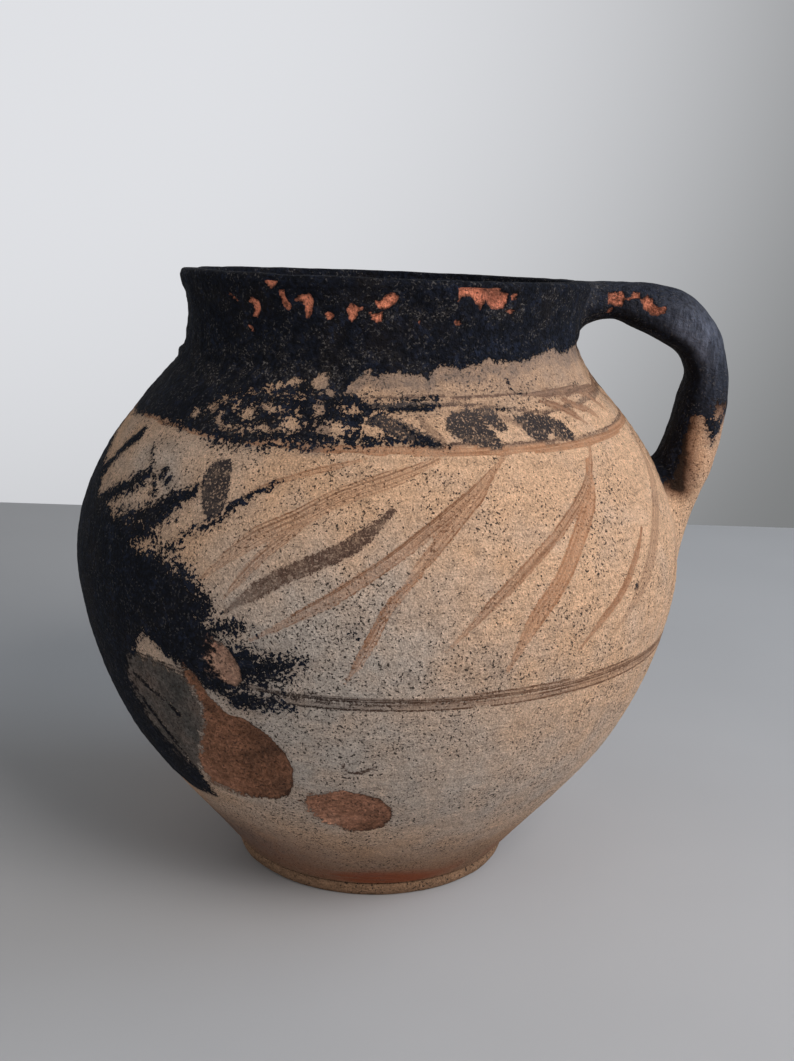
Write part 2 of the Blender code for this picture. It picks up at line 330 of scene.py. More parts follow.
# Strokes and cracks that hold soot: path, half width in mm
SOOT_STROKES = (
    (((-62, 181), (-66, 174), (-69, 167), (-73, 160)), 3.4),
    (((-49.5, 171), (-53, 167.5), (-57, 163), (-62, 158)), 3.2),
    (((-54, 180), (-51, 175), (-48, 171), (-45, 165)), 0.8),
    (((-18, 177), (-22, 173), (-26, 168), (-29, 162), (-33, 158), (-38, 150)), 0.95),
    (((-46, 87), (-43, 83), (-41, 79)), 0.9),
    (((34, 207), (33.5, 205), (35.5, 203), (39, 203)), 0.45),
    (((-16, 203.6), (-4, 202.9), (5, 203.0), (14, 203.2)), 0.55),
    (((-10, 199.6), (-3, 199.4), (4, 200.0), (11, 200.4), (14, 200.6)), 0.75),
    (((-4, 197), (0, 194), (4, 190.5)), 0.6),
    (((3, 197), (7, 193.5), (11, 190.5), (14, 189)), 0.5),
    (((2, 190.2), (9, 189.9), (15, 188.6)), 0.6),
    (((26, 199.4), (30, 198.8), (33, 197.6)), 0.3),
)
SOOT_SPOTS = ((-45.5, 172.5, 2.4), (-43.5, 171, 2.0), (-24, 187, 2.2), (-22, 130, 1.8), (-3, 131, 1.0))
# Places where the crust has flaked back to the slip: azimuth, height, half width, half height in mm
SOOT_GAPS = (
    (-25.5, 199, 5.6, 1.5), (-19.5, 194.5, 4.2, 3.6), (-9, 193.5, 6.0, 2.5), (-1, 194, 5.0, 3.0),
    (1, 201.8, 7.0, 1.0), (4, 197.5, 3.6, 1.6), (-13.5, 199.5, 2.4, 2.2), (-6, 199.5, 2.6, 1.2),
    (-46.5, 193, 2.0, 2.1), (-42, 195.5, 2.4, 1.9), (-38.5, 193, 1.6, 2.6), (-39, 200, 2.6, 0.9),
    (-35, 198, 1.2, 1.5), (-31, 196, 2.8, 2.2), (-61, 187, 1.8, 0.8), (-26.5, 206, 3.4, 1.4),
    (-22, 207.6, 3.2, 1.3), (-14.8, 208, 4.0, 3.2), (-25, 203.4, 5.5, 0.5), (-12, 204.6, 4.4, 0.6),
    (-42.5, 149.5, 4.6, 1.5), (-32, 190, 3.4, 1.0), (-27, 191.5, 3.8, 0.9), (-36, 190.5, 2.6, 0.7),
)

# Bare clay. Spalls: outline in (azimuth, height), tone (0 grey to 1 bright orange), depth in mm, and
# the azimuths
# from which and to which the broken edge gets crisp
SPALLS = (
    (
        ((-34.5, 110), (-32, 108.5), (-30.5, 103), (-28.5, 98), (-26, 94), (-22, 93), (-18, 87.5),
         (-15.5, 81),
         (-14.5, 74), (-15, 66), (-16.5, 60), (-20, 57), (-27, 55), (-33, 55), (-37, 57), (-38, 62),
         (-36.5, 70),
         (-34.5, 78), (-32, 87), (-31.5, 95), (-33, 103)),
        0.50,
        1.7,
        (-36, -24),
    ),
    (
        ((-50, 103), (-45, 107), (-40, 108), (-35, 106.5), (-32.5, 101), (-31, 94), (-32, 86), (-34, 78),
         (-36.5, 70),
         (-38, 62), (-41, 64), (-44.5, 67), (-47.5, 71), (-49.5, 78), (-51, 87), (-51.5, 95)),
        0.04,
        0.7,
        (-30, -20),
    ),
    (
        ((-28, 117), (-27, 121.5), (-26, 123), (-24, 120.5), (-22.7, 117), (-21.8, 113), (-21.8, 109),
         (-23, 106),
         (-25, 107), (-27.3, 110.5)),
        0.80,
        0.9,
        (-28, -24),
    ),
    (
        ((-14, 58), (-11, 63), (-5, 66), (-1, 65), (2.5, 63), (5, 58), (5.5, 52), (4, 46), (0, 43),
         (-4, 42), (-8, 46),
         (-12, 50)),
        0.60,
        1.0,
        (-16, 2),
    ),
    (((118, 88), (124, 96), (133, 99), (140, 92), (139, 80), (130, 74), (121, 78)), 0.48, 1.2, (118, 128)),
    (((196, 66), (204, 73), (215, 70), (218, 60), (207, 54), (198, 57)), 0.55, 0.9, (196, 210)),
    (((-96, 118), (-91, 126), (-85, 122), (-84, 112), (-91, 108)), 0.40, 0.9, (-96, -90)),
)
# Streaks of crust left across the grey scar: path, half width in mm
SCAR_STREAKS = (
    (((-51, 92), (-47, 84), (-44, 76), (-41, 67)), 0.9),
    (((-49, 98), (-45, 95), (-41, 92), (-38, 88)), 0.5),
    (((-48, 74), (-44, 68), (-40, 62)), 1.3),
)
# Chips through the soot of the collar, down to bright clay
COLLAR_CHIPS = (
    ((-31.2, 236), (-29.2, 238), (-27, 236.2), (-28, 234.8), (-29.8, 233.5), (-31.2, 235)),
    ((-39.2, 229.6), (-37, 230.8), (-34.2, 230), (-33.7, 227.6), (-35, 225.2), (-37, 225), (-35.9, 227.6),
     (-36.6, 229)),
    ((-45, 232.2), (-43, 231), (-40.6, 229.4), (-42, 229.4), (-44.6, 231.2)),
    ((-27.2, 233.5), (-25.8, 233.8), (-25.2, 231), (-23.6, 228.8), (-25, 227.8), (-26.8, 229), (-27, 231)),
    ((-23, 230.8), (-22, 232.6), (-18.6, 233), (-17.6, 231), (-18, 228), (-19, 225.8), (-20, 226),
     (-20, 229.8)),
    ((-14.8, 227), (-13.6, 228), (-12.2, 227.2), (-12.8, 225.8), (-14.4, 225.8)),
    ((-9.2, 229), (-8, 230.8), (-6.6, 230), (-4.2, 229.3), (-6, 228), (-6.5, 226), (-8, 225), (-9, 227)),
    ((-4, 229), (-2, 228), (0, 228.2), (0.4, 226.5), (-1, 225), (-2.6, 226)),
    ((-2, 231.6), (-0.8, 231), (0.8, 233.4), (2.6, 234.2), (4.2, 232.8), (3, 231), (0.8, 229), (-1, 229.2)),
    ((-39, 222.8), (-37, 222), (-35.8, 220.5), (-37.4, 221)),
    ((8.8, 227.4), (10, 226), (10.4, 224), (9, 225)),
    ((18.8, 226), (20.4, 226), (21, 224.8), (19.6, 224.4)),
    ((19, 236), (21.5, 237), (25, 236.4), (28, 236.3), (30.5, 236.8), (31.2, 235), (33.5, 234), (34, 231.8),
     (33, 229.6), (31, 229), (28.6, 230), (26.8, 232.2), (26, 229), (24, 231.4), (22.6, 233.2), (20, 233),
     (19.2, 231.6)),
    ((33.6, 229), (36, 229.4), (37.2, 228.8), (35.6, 227.8), (34, 228)),
    ((34.4, 234), (36.4, 234.3), (36.6, 233), (35, 231.8)),
    ((128, 236), (133, 236.8), (136, 233), (132, 230.5), (129, 232)),
    ((150, 229), (153, 231), (157, 229.5), (154, 226.5)),
    ((214, 235), (219, 236.5), (223, 233), (220, 229.5), (216, 231.5)),
    ((246, 228), (250, 231), (252, 227.5), (249, 225)),
)

PAINT_MARGIN = 4  # mm outside a stroke where its fields still count

# Broad round tints: weight, (azimuth, height), half width in degrees, half height in mm
RAGGED_TINTS = (
    (1.1, (-22, 194), 34, 13), (-0.55, (7, 197), 11, 9), (1.5, (-12, 112), 15, 16), (1.4, (-36, 140), 18, 24),
    (0.5, (-54, 164), 16, 12), (0.8, (-47, 56), 14, 16),
)
GREY_TINTS = (
    (0.9, (-20, 84), 46, 40), (0.75, (-8, 132), 24, 28), (0.55, (35, 55), 44, 32), (0.5, (180, 80), 60, 50),
    (0.65, (-50, 176), 22, 18),
)
HAZE_TINTS = (
    (0.40, (-5, 20), 75, 13), (0.75, (-50, 26), 27, 17), (0.10, (-62, 176), 20, 16), (0.70, (38, 206), 46, 8),
)
DUSTY_TINTS = (
    (0.9, (-18, 212), 30, 7), (0.7, (-48, 206), 16, 5), (0.6, (12, 229), 34, 5), (0.6, (48, 230), 16, 8),
    (0.5, (-30, 190), 16, 8), (0.5, (170, 222), 60, 12),
)
# Relief left by the potter's hand, mm: a ledge under the neck, and a hollow thumbed beside the handle
HAND_MARKS = ((1.3, (-88, 209.3), 14, 1.6), (-3.9, (84, 202), 18, 9), (-1.5, (84, 212), 13, 6))


def shifted(points, turns):
    """The unrolled points moved round by whole turns, so that a mark may cross the join at the back."""
    return points + np.array([turns * 2 * math.pi * FLAT_RADIUS / MM, 0])


def deepest_patch(points, outline_marks):
    """Depth inside an outline given in (azimuth, height), wherever the turn it lies on."""
    outline = unroll(*np.array(outline_marks, dtype=float).T)
    low, high = outline.min(0) - FAR, outline.max(0) + FAR
    best = np.full(len(points), -FAR)
    for turns in (-1, 0, 1):
        moved = shifted(points, turns)
        near = ((moved > low) & (moved < high)).all(1)
        if near.any():
            best[near] = np.maximum(best[near], patch_depth(moved[near], outline))
    return best


def nearest_path(points, path_marks, reach):
    """(rows near the path, their path fields), wherever the turn it lies on."""
    path = smooth_path(unroll(*np.array(path_marks, dtype=float).T))
    low, high = path.min(0) - reach, path.max(0) + reach
    for turns in (-1, 0, 1):
        moved = shifted(points, turns)
        near = np.flatnonzero(((moved > low) & (moved < high)).all(1))
        if len(near):
            yield near, path_fields(moved[near], path)


def stroke_depth(points, path_marks, half_width):
    best = np.full(len(points), -FAR)
    for near, (distance, _, _) in nearest_path(points, path_marks, half_width + 12):
        best[near] = np.maximum(best[near], half_width - distance)
    return best


def far_strokes():
    """Feather strokes for the side that faces away, varied by a seeded hand."""
    hand = np.random.default_rng(11)
    strokes = []
    for azimuth in np.arange(FAR_STROKES_FROM, FAR_STROKES_TO, FAR_STROKE_STEP):
        top = azimuth + hand.uniform(-3, 3)
        sweep = hand.uniform(26, 42)
        low = hand.uniform(112, 132)
        path = [
            (top - sweep * t**1.1, 185 - (185 - low) * t + hand.uniform(-1.5, 1.5))
            for t in np.linspace(0, 1, 5)
        ]
        width, strength = hand.uniform(1.2, 3.2), hand.uniform(0.4, 0.8)
        strokes.append((path, width, strength, hand.uniform(0.3, 0.9), hand.uniform(0.3, 1.0)))
    return strokes


def paint_fields(points):
    """Depth inside the deepest painted stroke, with its streak places, strength and warmth."""
    fields = {name: np.zeros(len(points)) for name in ("paint", "across", "strength", "warmth", "streaks")}
    fields["paint"][:] = -FAR

    def lay(rows, depth, across, strength, warmth, streaks):
        wins = depth > fields["paint"][rows]
        chosen = rows[wins]
        fields["paint"][chosen] = depth[wins]
        fields["across"][chosen] = across[wins]
        fields["strength"][chosen] = strength[wins]
        fields["warmth"][chosen] = warmth
        fields["streaks"][chosen] = streaks

    for number, (marks, half, strength, warmth, streaks) in enumerate([*FEATHER_STROKES, *far_strokes()]):
        for rows, (distance, side, along) in nearest_path(points, marks, half + PAINT_MARGIN):
            taper = (0.35 + 0.65 * smoothstep(0, 0.25, along)) * (1 - 0.75 * smoothstep(0.72, 1, along))
            fade = strength * (1 - 0.35 * smoothstep(0.6, 1, along))
            lay(rows, half * taper - distance, side + 37 * number, fade, warmth, streaks)
    for number, outline in enumerate(DARK_PATCHES):
        depth = deepest_patch(points, outline)
        rows = np.flatnonzero(depth > -PAINT_MARGIN)
        lay(rows, depth[rows], np.full(len(rows), 17.0 * number), np.ones(len(rows)), 0.0, 0.0)
    for number, (marks, half, dark) in enumerate([*BAND_DABS, *far_dabs()]):
        for rows, (distance, side, along) in nearest_path(points, marks, half + PAINT_MARGIN):
            taper = 0.45 + 0.55 * np.sin(np.pi * np.clip(along, 0.05, 0.95))
            strength = np.full(len(rows), dark)
            lay(rows, half * taper - distance, side + 91 * number, strength, 0.35 - 0.3 * dark, 0.45)
    return fields


def far_dabs():
    """Dabs for the rest of the shoulder band."""
    hand = np.random.default_rng(5)
    dabs = []
    for azimuth in np.arange(80, 352, 12.5):
        start = azimuth + hand.uniform(-2, 2)
        rise = hand.uniform(197, 199.5)
        path = ((start, rise), (start + 4, 194), (start + 9 + hand.uniform(-1, 2), 188.5))
        dabs.append((path, hand.uniform(1.4, 3.0), hand.uniform(0.4, 1.0)))
    return dabs


def wander(azimuth, size, seed):
    """A slow wobble in mm round the pot, so that no painted line is ruled."""
    angle = np.radians(azimuth)
    return soft_noise(np.stack([np.sin(angle), np.cos(angle), np.zeros_like(angle)], axis=-1), size, seed)


def height_of(line, azimuth):
    """Height in mm of a painted line at each azimuth."""
    places, heights = np.array(line, dtype=float).T
    return np.interp(azimuth, places, heights)


def add_band_lines(fields, azimuth, height):
    """Lay the lines that run right round over the strokes: the belly band and the shoulder's lines."""
    up = arc_length(height) / MM

    def line(middle, half, seed, wobble):
        centre = arc_length(middle * MM) / MM
        moved = centre + wobble * wander(azimuth, 0.5, seed) + 0.3 * wander(azimuth, 0.08, seed + 9)
        return half - np.abs(up - moved)

    edge = height_of(BAND_EDGE, azimuth)
    orange = line(edge - 2.2, 1.7, 6, 0.4)
    belly = np.maximum(line(107.1, 1.5, 3, 0.5), line(103.6, 1.4, 4, 0.5))
    dark = np.maximum(line(edge, 0.8, 7, 0.4), line(height_of(MIDDLE_LINE, azimuth), 0.8, 8, 0.3))
    wash = 1 + 1.4 * smoothstep(34, 48, azimuth) * (1 - smoothstep(85, 100, azimuth))
    top = line(height_of(UPPER_LINE, azimuth), 0.75 * wash, 9, 0.3)
    sooty = sooty_side(azimuth)
    for depth, strength, warmth, streaks in (
        (orange, 1.0, 0.85, 0.45),
        (belly, 1.0, 0.46 - 0.40 * sooty, 0.9),
        (dark, 0.90, 0.16, 0.4),
        (top, 0.95, 0.42 - 0.32 * sooty, 0.4),
    ):
        wins = depth > np.maximum(fields["paint"], -0.3)
        put_where(fields, wins, paint=depth, across=up + 500)
        put_where(fields, wins, strength=strength, warmth=warmth, streaks=streaks)


def sooty_side(azimuth):
    """1 on the side that stood nearest the fire, 0 on the handle's side."""
    return 1 - smoothstep(-10, 30, azimuth)


def put_where(fields, wins, **values):
    for name, value in values.items():
        fields[name] = np.where(wins, value, fields[name])


def soot_field(azimuth, height, points):
    """Millimetres inside the soot, negative outside."""
    soot = above_soot_line(azimuth, height)
    for outline in SOOT_PATCHES:
        soot = np.maximum(soot, deepest_patch(points, outline))
    for marks, half_width in SOOT_STROKES:
        soot = np.maximum(soot, stroke_depth(points, marks, half_width))
    for marks, half_width in SCAR_STREAKS:
        soot = np.maximum(soot, stroke_depth(points, marks, half_width + 1.5))
    for spot_azimuth, spot_height, radius in SOOT_SPOTS:
        centre = unroll(spot_azimuth, spot_height)
        soot = np.maximum(soot, radius - np.hypot(*(points - centre).T))
    for gap_azimuth, gap_height, half_width, half_height in SOOT_GAPS:
        centre = unroll(gap_azimuth, gap_height)
        offset = (points - centre) / (half_width, half_height)
        inside = (1 - np.hypot(offset[:, 0], offset[:, 1])) * half_height
        soot = np.minimum(soot, -1.6 * inside)
    return np.clip(soot, -FAR, FAR)


def above_soot_line(azimuth, height):
    return (arc_length(height) - arc_length(height_of(SOOT_LINE, azimuth) * MM)) / MM


def patch_weight(azimuth, level, centre, half_width, half_height):
    """A soft round weight, 1 at the centre, for broad changes of tint."""
    turn = (azimuth - centre[0] + 180) % 360 - 180
    return np.exp(-((turn / half_width) ** 2) - ((level - centre[1]) / half_height) ** 2)


def tinted(azimuth, level, tints):
    return sum(weight * patch_weight(azimuth, level, *patch) for weight, *patch in tints)


def add_bare_clay(fields, azimuth, flat, away, loose, fine):
    """Spalls and chips: depth inside the outline, clay's tone, pit's depth and how soft the edge is."""
    count = len(flat)
    fields.update(bare=np.full(count, -FAR), tone=np.full(count, 0.5))
    fields.update(pit=np.zeros(count), soft=np.zeros(count))
    for outline, tone, deep, (soft_side, crisp_side) in SPALLS:
        crisp = smoothstep(0, 1, (azimuth - soft_side) / (crisp_side - soft_side))
        depth = deepest_patch(flat, outline) + (0.5 + 0.8 * away) * fine + (0.7 + 1.5 * away) * loose
        pit = deep * (0.25 + 0.75 * crisp)
        put_where(fields, depth > fields["bare"], bare=depth, tone=tone, soft=1 - crisp, pit=pit)
    for marks, half_width in SCAR_STREAKS:
        streak = stroke_depth(flat, marks, half_width) + 0.6 * fine
        fields["bare"] = np.minimum(fields["bare"], -1.5 * streak)
    # Painted light: the collar's chips are one fresh clay, but those on the shaded sooty side get the
    # brighter tone and those on the lit handle side a darker one
    chip_tone_with_painted_light = 0.93 + 0.07 * sooty_side(azimuth)
    for outline in COLLAR_CHIPS:
        depth = deepest_patch(flat, outline) + 0.55 * fine
        put_where(fields, depth > fields["bare"], bare=depth, tone=chip_tone_with_painted_light, soft=0.0, pit=0.9)
    fields["bare"] = np.clip(fields["bare"], -FAR, FAR)


def surface_fields(azimuth, height, places):
    """All the fields of points on the pot's outer surface, from their azimuth, height and place."""
    level = height / MM
    flat = unroll(azimuth, level)
    loose = layered_noise(places, 14 * MM, 21)
    fine = layered_noise(places, 4 * MM, 25, layers=2)
    broad = soft_noise(places, 26 * MM, 27)
    away = smoothstep(60, 84, np.abs(azimuth))
    fields = paint_fields(flat + 0.35 * np.stack([loose, fine], axis=-1))
    add_band_lines(fields, azimuth, height)
    add_bare_clay(fields, azimuth, flat, away, loose, fine)

    # On the far side the soot is patchier and its edge more ragged
    soot = soot_field(azimuth, height, flat)
    patchy = away * (1 - smoothstep(188, 204, level))
    soot = soot + patchy * (np.minimum(soot, 7) - soot) + patchy * 7.5 * soft_noise(places, 34 * MM, 29)
    soot = soot + away * (2.6 * broad + 2.0 * loose + 1.0 * fine)
    fields["soot"] = soot + 0.7 * loose + 0.5 * fine
    ragged_away = away * (0.55 + 0.9 * smoothstep(-0.2, 0.7, broad))
    fields["ragged"] = 0.30 + tinted(azimuth, level, RAGGED_TINTS) + ragged_away

    haze = 0.15 * smoothstep(-6, 0, soot) + tinted(azimuth, level, HAZE_TINTS)
    fringe = smoothstep(-6.5, -3.5, above_soot_line(azimuth, height) + 2.0 * loose)
    haze = haze + 0.62 * fringe * smoothstep(-22, -10, azimuth)
    smear_and_shade = patch_weight(azimuth, level, (8, 9.5), 20, 4.4) * (1.8 + 0.8 * loose)
    smear_and_shade = smear_and_shade + patch_weight(azimuth, level, (44, 14), 20, 6) * (0.35 + 0.7 * loose)
    # Painted shade: a darker red-brown low on the left, where the lower belly is in shade
    smear_and_shade = smear_and_shade + 0.40 * patch_weight(azimuth, level, (-40, 18), 26, 13)
    fields["haze"] = np.clip(haze + 0.1 * loose, 0, 1)
    fields["smear_and_shade"] = np.clip(smear_and_shade, 0, 1)
    fields["grey"] = np.clip(tinted(azimuth, level, GREY_TINTS) + 0.12 * loose, 0, 1)
    fields["foot"] = 1 - smoothstep(4, 46, level + 5 * loose)
    fields["dusty"] = np.clip(tinted(azimuth, level, DUSTY_TINTS) + 0.2 * loose, 0, 1)
    fields["scorch"] = 0.5 * patch_weight(azimuth, level, (90, 164), 9, 6)
    fields["gloss_and_painted_sheen"] = np.zeros(len(flat))
    fields["inside"] = np.zeros(len(flat))
    return fields


# ---------------------------------------------------------------- relief


def relief(azimuth, height, places, fields):
    """How far the surface stands proud of the outline, in metres: throwing lines, lumps, crust and pits."""
    level = height / MM
    bare = fields["bare"]
    ridge = np.sin(arc_length(height) / MM * 1.55 + 2.2 * soft_noise(places, 60 * MM, 41))
    ridge = ridge * (0.5 + 0.5 * soft_noise(places, 30 * MM, 43))
    lumps = layered_noise(places, 55 * MM, 31)
    rough = layered_noise(places, 5 * MM, 35)
    sooty = smoothstep(-0.5, 1.2, fields["soot"]) * (1 - smoothstep(-0.3, 0.6, bare))
    collar = smoothstep(206, 214, level)
    pit = smoothstep(-0.4, 1.0, bare) * fields["pit"]
    pit = pit * (0.75 + 0.25 * smoothstep(0, 8, bare))
    pit = pit * (1 + 0.30 * np.sin(2.1 * bare + 5 * soft_noise(places, 14 * MM, 51)))
    worn = smoothstep(0.2, 1.5, bare) * layered_noise(places, 3.2 * MM, 47)
    proud = 0.10 * ridge + 0.40 * lumps + 0.06 * rough + tinted(azimuth, level, HAND_MARKS)
    proud = proud + 0.60 * collar * layered_noise(places * (1, 1, 1.8), 15 * MM, 57)
    proud = proud + sooty * (0.22 + (0.18 + 0.30 * collar) * rough)
    return (proud - pit + 0.22 * worn) * MM


def pot_point(azimuth, height, proud):
    """A point on the outer surface, moved out along its normal."""
    slope = outer_slope(height)
    steep = np.sqrt(1 + slope**2)
    radius = outer_radius(height) + proud / steep
    angle = np.radians(azimuth)
    level = height - proud * slope / steep
    return lean(np.stack([radius * np.sin(angle), -radius * np.cos(angle), level], axis=-1))


# ---------------------------------------------------------------- meshes

FIELD_NAMES = (
    "paint", "across", "strength", "warmth", "streaks", "soot", "ragged", "bare", "tone",
    "grey", "foot", "haze", "inside", "soft", "smear_and_shade", "scorch", "gloss_and_painted_sheen", "dusty",
)


def grid_faces(rows, columns, closed_rows):
    """Quads of a grid that closes on itself round its columns, and round its rows if asked."""
    row = np.arange(rows if closed_rows else rows - 1)
    here = row[:, None] * columns + np.arange(columns)
    above = ((row + 1) % rows)[:, None] * columns + np.arange(columns)
    corners = [here, np.roll(here, -1, axis=1), np.roll(above, -1, axis=1), above]
    return np.stack(corners, axis=-1).reshape(-1, 4)


def make_piece(node, points, faces, fields, material, sharp=60):
    """A visible piece with its fields, standing for a CAD node."""
    name = node + "_clay"
    mesh = bpy.data.meshes.new(name)
    mesh.from_pydata(points.tolist(), [], [list(face) for face in faces])
    for field in FIELD_NAMES:
        layer = mesh.attributes.new(field, "FLOAT", "POINT")
        layer.data.foreach_set("value", np.ascontiguousarray(fields[field], dtype=np.float32))
    mesh.materials.append(material)
    mesh.shade_smooth()
    mesh.set_sharp_from_angle(angle=math.radians(sharp))
    mesh.validate()
    piece = bpy.data.objects.new(name, mesh)
    bpy.context.scene.collection.objects.link(piece)
    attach(piece, "root")
    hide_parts(node)


def rows_between(low, high, step):
    """Heights spaced evenly along the surface."""
    start, end = arc_length(low), arc_length(high)
    count = max(2, int(round((end - start) / step)) + 1)
    return np.interp(np.linspace(start, end, count), ARC_LENGTHS, ARC_HEIGHTS)


def ring(radius, height):
    """One plain row of points round the pot."""
    angle = np.radians(AZIMUTHS)
    level = np.full_like(angle, height)
    return lean(np.stack([radius * np.sin(angle), -radius * np.cos(angle), level], axis=-1))


def plain_fields(count, inside=1.0, **values):
    """Fields of points with no marks, apart from the values given."""
    fields = {field: np.zeros(count) for field in FIELD_NAMES}
    marks = {"paint": -FAR, "soot": -FAR, "bare": -FAR, "ragged": 1.0, "inside": inside, **values}
    for field, value in marks.items():
        fields[field][:] = value
    return fields


def joined_fields(*parts):
    return {field: np.concatenate([part[field] for part in parts]) for field in FIELD_NAMES}


def outer_rows(heights):
    """Points and fields of the outer surface at these heights."""
    height, azimuth = np.meshgrid(heights, AZIMUTHS, indexing="ij")
    height, azimuth = height.ravel(), azimuth.ravel()
    places = pot_point(azimuth, height, np.zeros_like(height))
    fields = surface_fields(azimuth, height, places)
    return pot_point(azimuth, height, relief(azimuth, height, places, fields)), fields


def inner_rows(heights):
    """Plain rows of the inner surface, with soft throwing ridges."""
    rows = []
    for height in heights:
        thick = through(THICKNESS_STATIONS, height / HEIGHT)
        slope = outer_slope(height)
        steep = math.hypot(1, slope)
        radius = outer_radius(height) - thick / steep + 0.25 * MM * math.sin(height / MM * 0.9)
        rows.append(ring(radius, height + thick * slope / steep))
    return np.vstack(rows)


def wall_piece(node, low, high, material):
    """A thrown section of the wall: dense outside, plainer inside, closed at both seams."""
    outside = rows_between(low, high, ROW_STEP)
    inside = rows_between(low + 2 * MM, high - 2 * MM, INNER_ROW_STEP)[::-1]
    points, fields = outer_rows(outside)
    inner = inner_rows(inside)
    faces = grid_faces(len(outside) + len(inside), ROUND_STEPS, closed_rows=True)
    fields = joined_fields(fields, plain_fields(len(inner), soot=-3.0, foot=0.3))
    make_piece(node, np.vstack([points, inner]), faces, fields, material)


def collar_piece(material):
    """The collar: outside, rounded rim with nicks, and the inside down to the seam."""
    top = HEIGHT - RIM_ROUNDING
    outside = rows_between(NECK_SEAM, top, COLLAR_ROW_STEP)
    points, fields = outer_rows(outside)
    thick = through(THICKNESS_STATIONS, NECK_SHARE)
    half = thick / 2
    middle = float(outer_radius(top)) - half
    rows, parts = [points], [fields]
    for turn in np.linspace(0, math.pi, 11)[1:]:
        radius = middle + half * np.sign(math.cos(turn)) * abs(math.cos(turn)) ** 0.55
        row = ring(radius, top + RIM_ROUNDING * math.sin(turn) ** 0.55)
        nick = 0.3 * layered_noise(row, 9 * MM, 61)
        nick = nick - 0.4 * smoothstep(0.35, 0.7, soft_noise(row, 16 * MM, 63))
        row[:, 2] += nick * MM * math.sin(turn)
        row[:, :2] *= 1 + (0.25 * MM * layered_noise(row, 6 * MM, 65) / radius)[:, None]
        rows.append(row)
        parts.append(plain_fields(len(row), inside=0.0, soot=8.0, dusty=0.25))
    for height in np.linspace(top - 2 * MM, NECK_SEAM + 4 * MM, 9):
        radius = float(outer_radius(max(height, 213 * MM))) - thick
        row = ring(radius + 0.3 * MM * math.sin(height / MM), height)
        rows.append(row)
        parts.append(plain_fields(len(row), inside=1 - smoothstep(222 * MM, 230 * MM, height), soot=8.0))
    faces = grid_faces(len(outside) + len(rows) - 1, ROUND_STEPS, closed_rows=True)
    make_piece("neck_collar", np.vstack(rows), faces, joined_fields(*parts), material)


def base_piece(material):
    """The floor slab with its splayed foot lip, from the middle of its top to that of its underside."""
    hub = 4 * MM
    profile = (
        (hub, FLOOR_HEIGHT), (47.0 * MM, FLOOR_HEIGHT), (47.3 * MM, FOOT_SEAM),
        (54.6 * MM, FOOT_SEAM - 0.3 * MM), (55.6 * MM, FOOT_SEAM - 0.9 * MM),
        (LIP_RADIUS - 0.1 * MM, 4.4 * MM), (LIP_RADIUS, 3.4 * MM), (LIP_RADIUS - 0.4 * MM, 2.0 * MM),
        (54.9 * MM, 0.9 * MM), (54.0 * MM, 0.1 * MM), (52.0 * MM, 0.0), (hub, 0.0),
    )
    inner_rows_end, worn_rows_end = 3, 10
    rows, parts = [], []
    for number, (radius, height) in enumerate(profile):
        row = ring(radius, height)
        if inner_rows_end <= number < worn_rows_end:
            row[:, :2] *= 1 + (0.35 * MM * layered_noise(row, 8 * MM, 71) / radius)[:, None]
        rows.append(row)
        parts.append(plain_fields(len(row), inside=float(number < inner_rows_end), foot=1.0))
    faces = grid_faces(len(rows), ROUND_STEPS, closed_rows=False).tolist()
    columns = np.arange(ROUND_STEPS)
    faces.append(columns[::-1].tolist())
    faces.append(((len(rows) - 1) * ROUND_STEPS + columns).tolist())
    outward = [face[::-1] for face in faces]
    make_piece("base_disc", np.vstack(rows), outward, joined_fields(*parts), material, sharp=35)


# ---------------------------------------------------------------- handle

# The strap's centre line in the (x, z) plane and its half thickness, mm
STRAP_STATIONS = (
    (72, 230.5, 7.0),
    (88, 230.9, 6.7),
    (100, 228.9, 8.8),
    (113, 224.6, 10.3),
    (122.5, 216.5, 9.0),
    (127.1, 204.0, 8.0),
    (126.2, 191.0, 9.5),
    (123.8, 177.0, 10.3),
    (119, 162.5, 10.6),
    (109, 148.0, 9.5),
)
STRAP_WIDTH_RATIO = 1.6
STRAP_ROWS = 118
SECTION_STEPS = 96
SECTION_ANGLES = np.linspace(0, 2 * math.pi, SECTION_STEPS, endpoint=False)
SECTION_POWER = 2.25  # 2 is an ellipse, more is squarer
NECK_RADIUS = 78 * MM  # the pot's radius at each joint, to turn a spread into degrees
SHOULDER_RADIUS = 118 * MM


def strap_line():
    """Dense centre line of the strap: place, half thickness, and the unit vector outwards."""
    stations = smooth_path(np.array(STRAP_STATIONS) * MM, steps=24)
    line, half = stations[:, :2], stations[:, 2]
    ahead = np.gradient(line, axis=0)
    ahead /= np.linalg.norm(ahead, axis=1)[:, None]
    outward = np.stack([-ahead[:, 1], ahead[:, 0]], axis=1)
    return line, half, outward


def section(line, half, outward):
    """One closed section of the strap. Angle 0 faces away from the pot and 90 degrees faces -Y."""
    def squared(value):
        return np.sign(value) * np.abs(value) ** (2 / SECTION_POWER)

    out = half * squared(np.cos(SECTION_ANGLES))
    side = half * STRAP_WIDTH_RATIO * squared(np.sin(SECTION_ANGLES))
    return np.stack([line[0] + outward[0] * out, -side, line[1] + outward[1] * out], axis=-1)


# Where the soot ends on the strap: height in mm, by distance from the pot's axis
HANDLE_SOOT_EDGE = ((105, 158), (110, 161), (114, 164), (116, 170), (118, 180), (120.5, 188), (124, 190),
                    (126, 184), (129, 178), (131.5, 182), (134, 188))
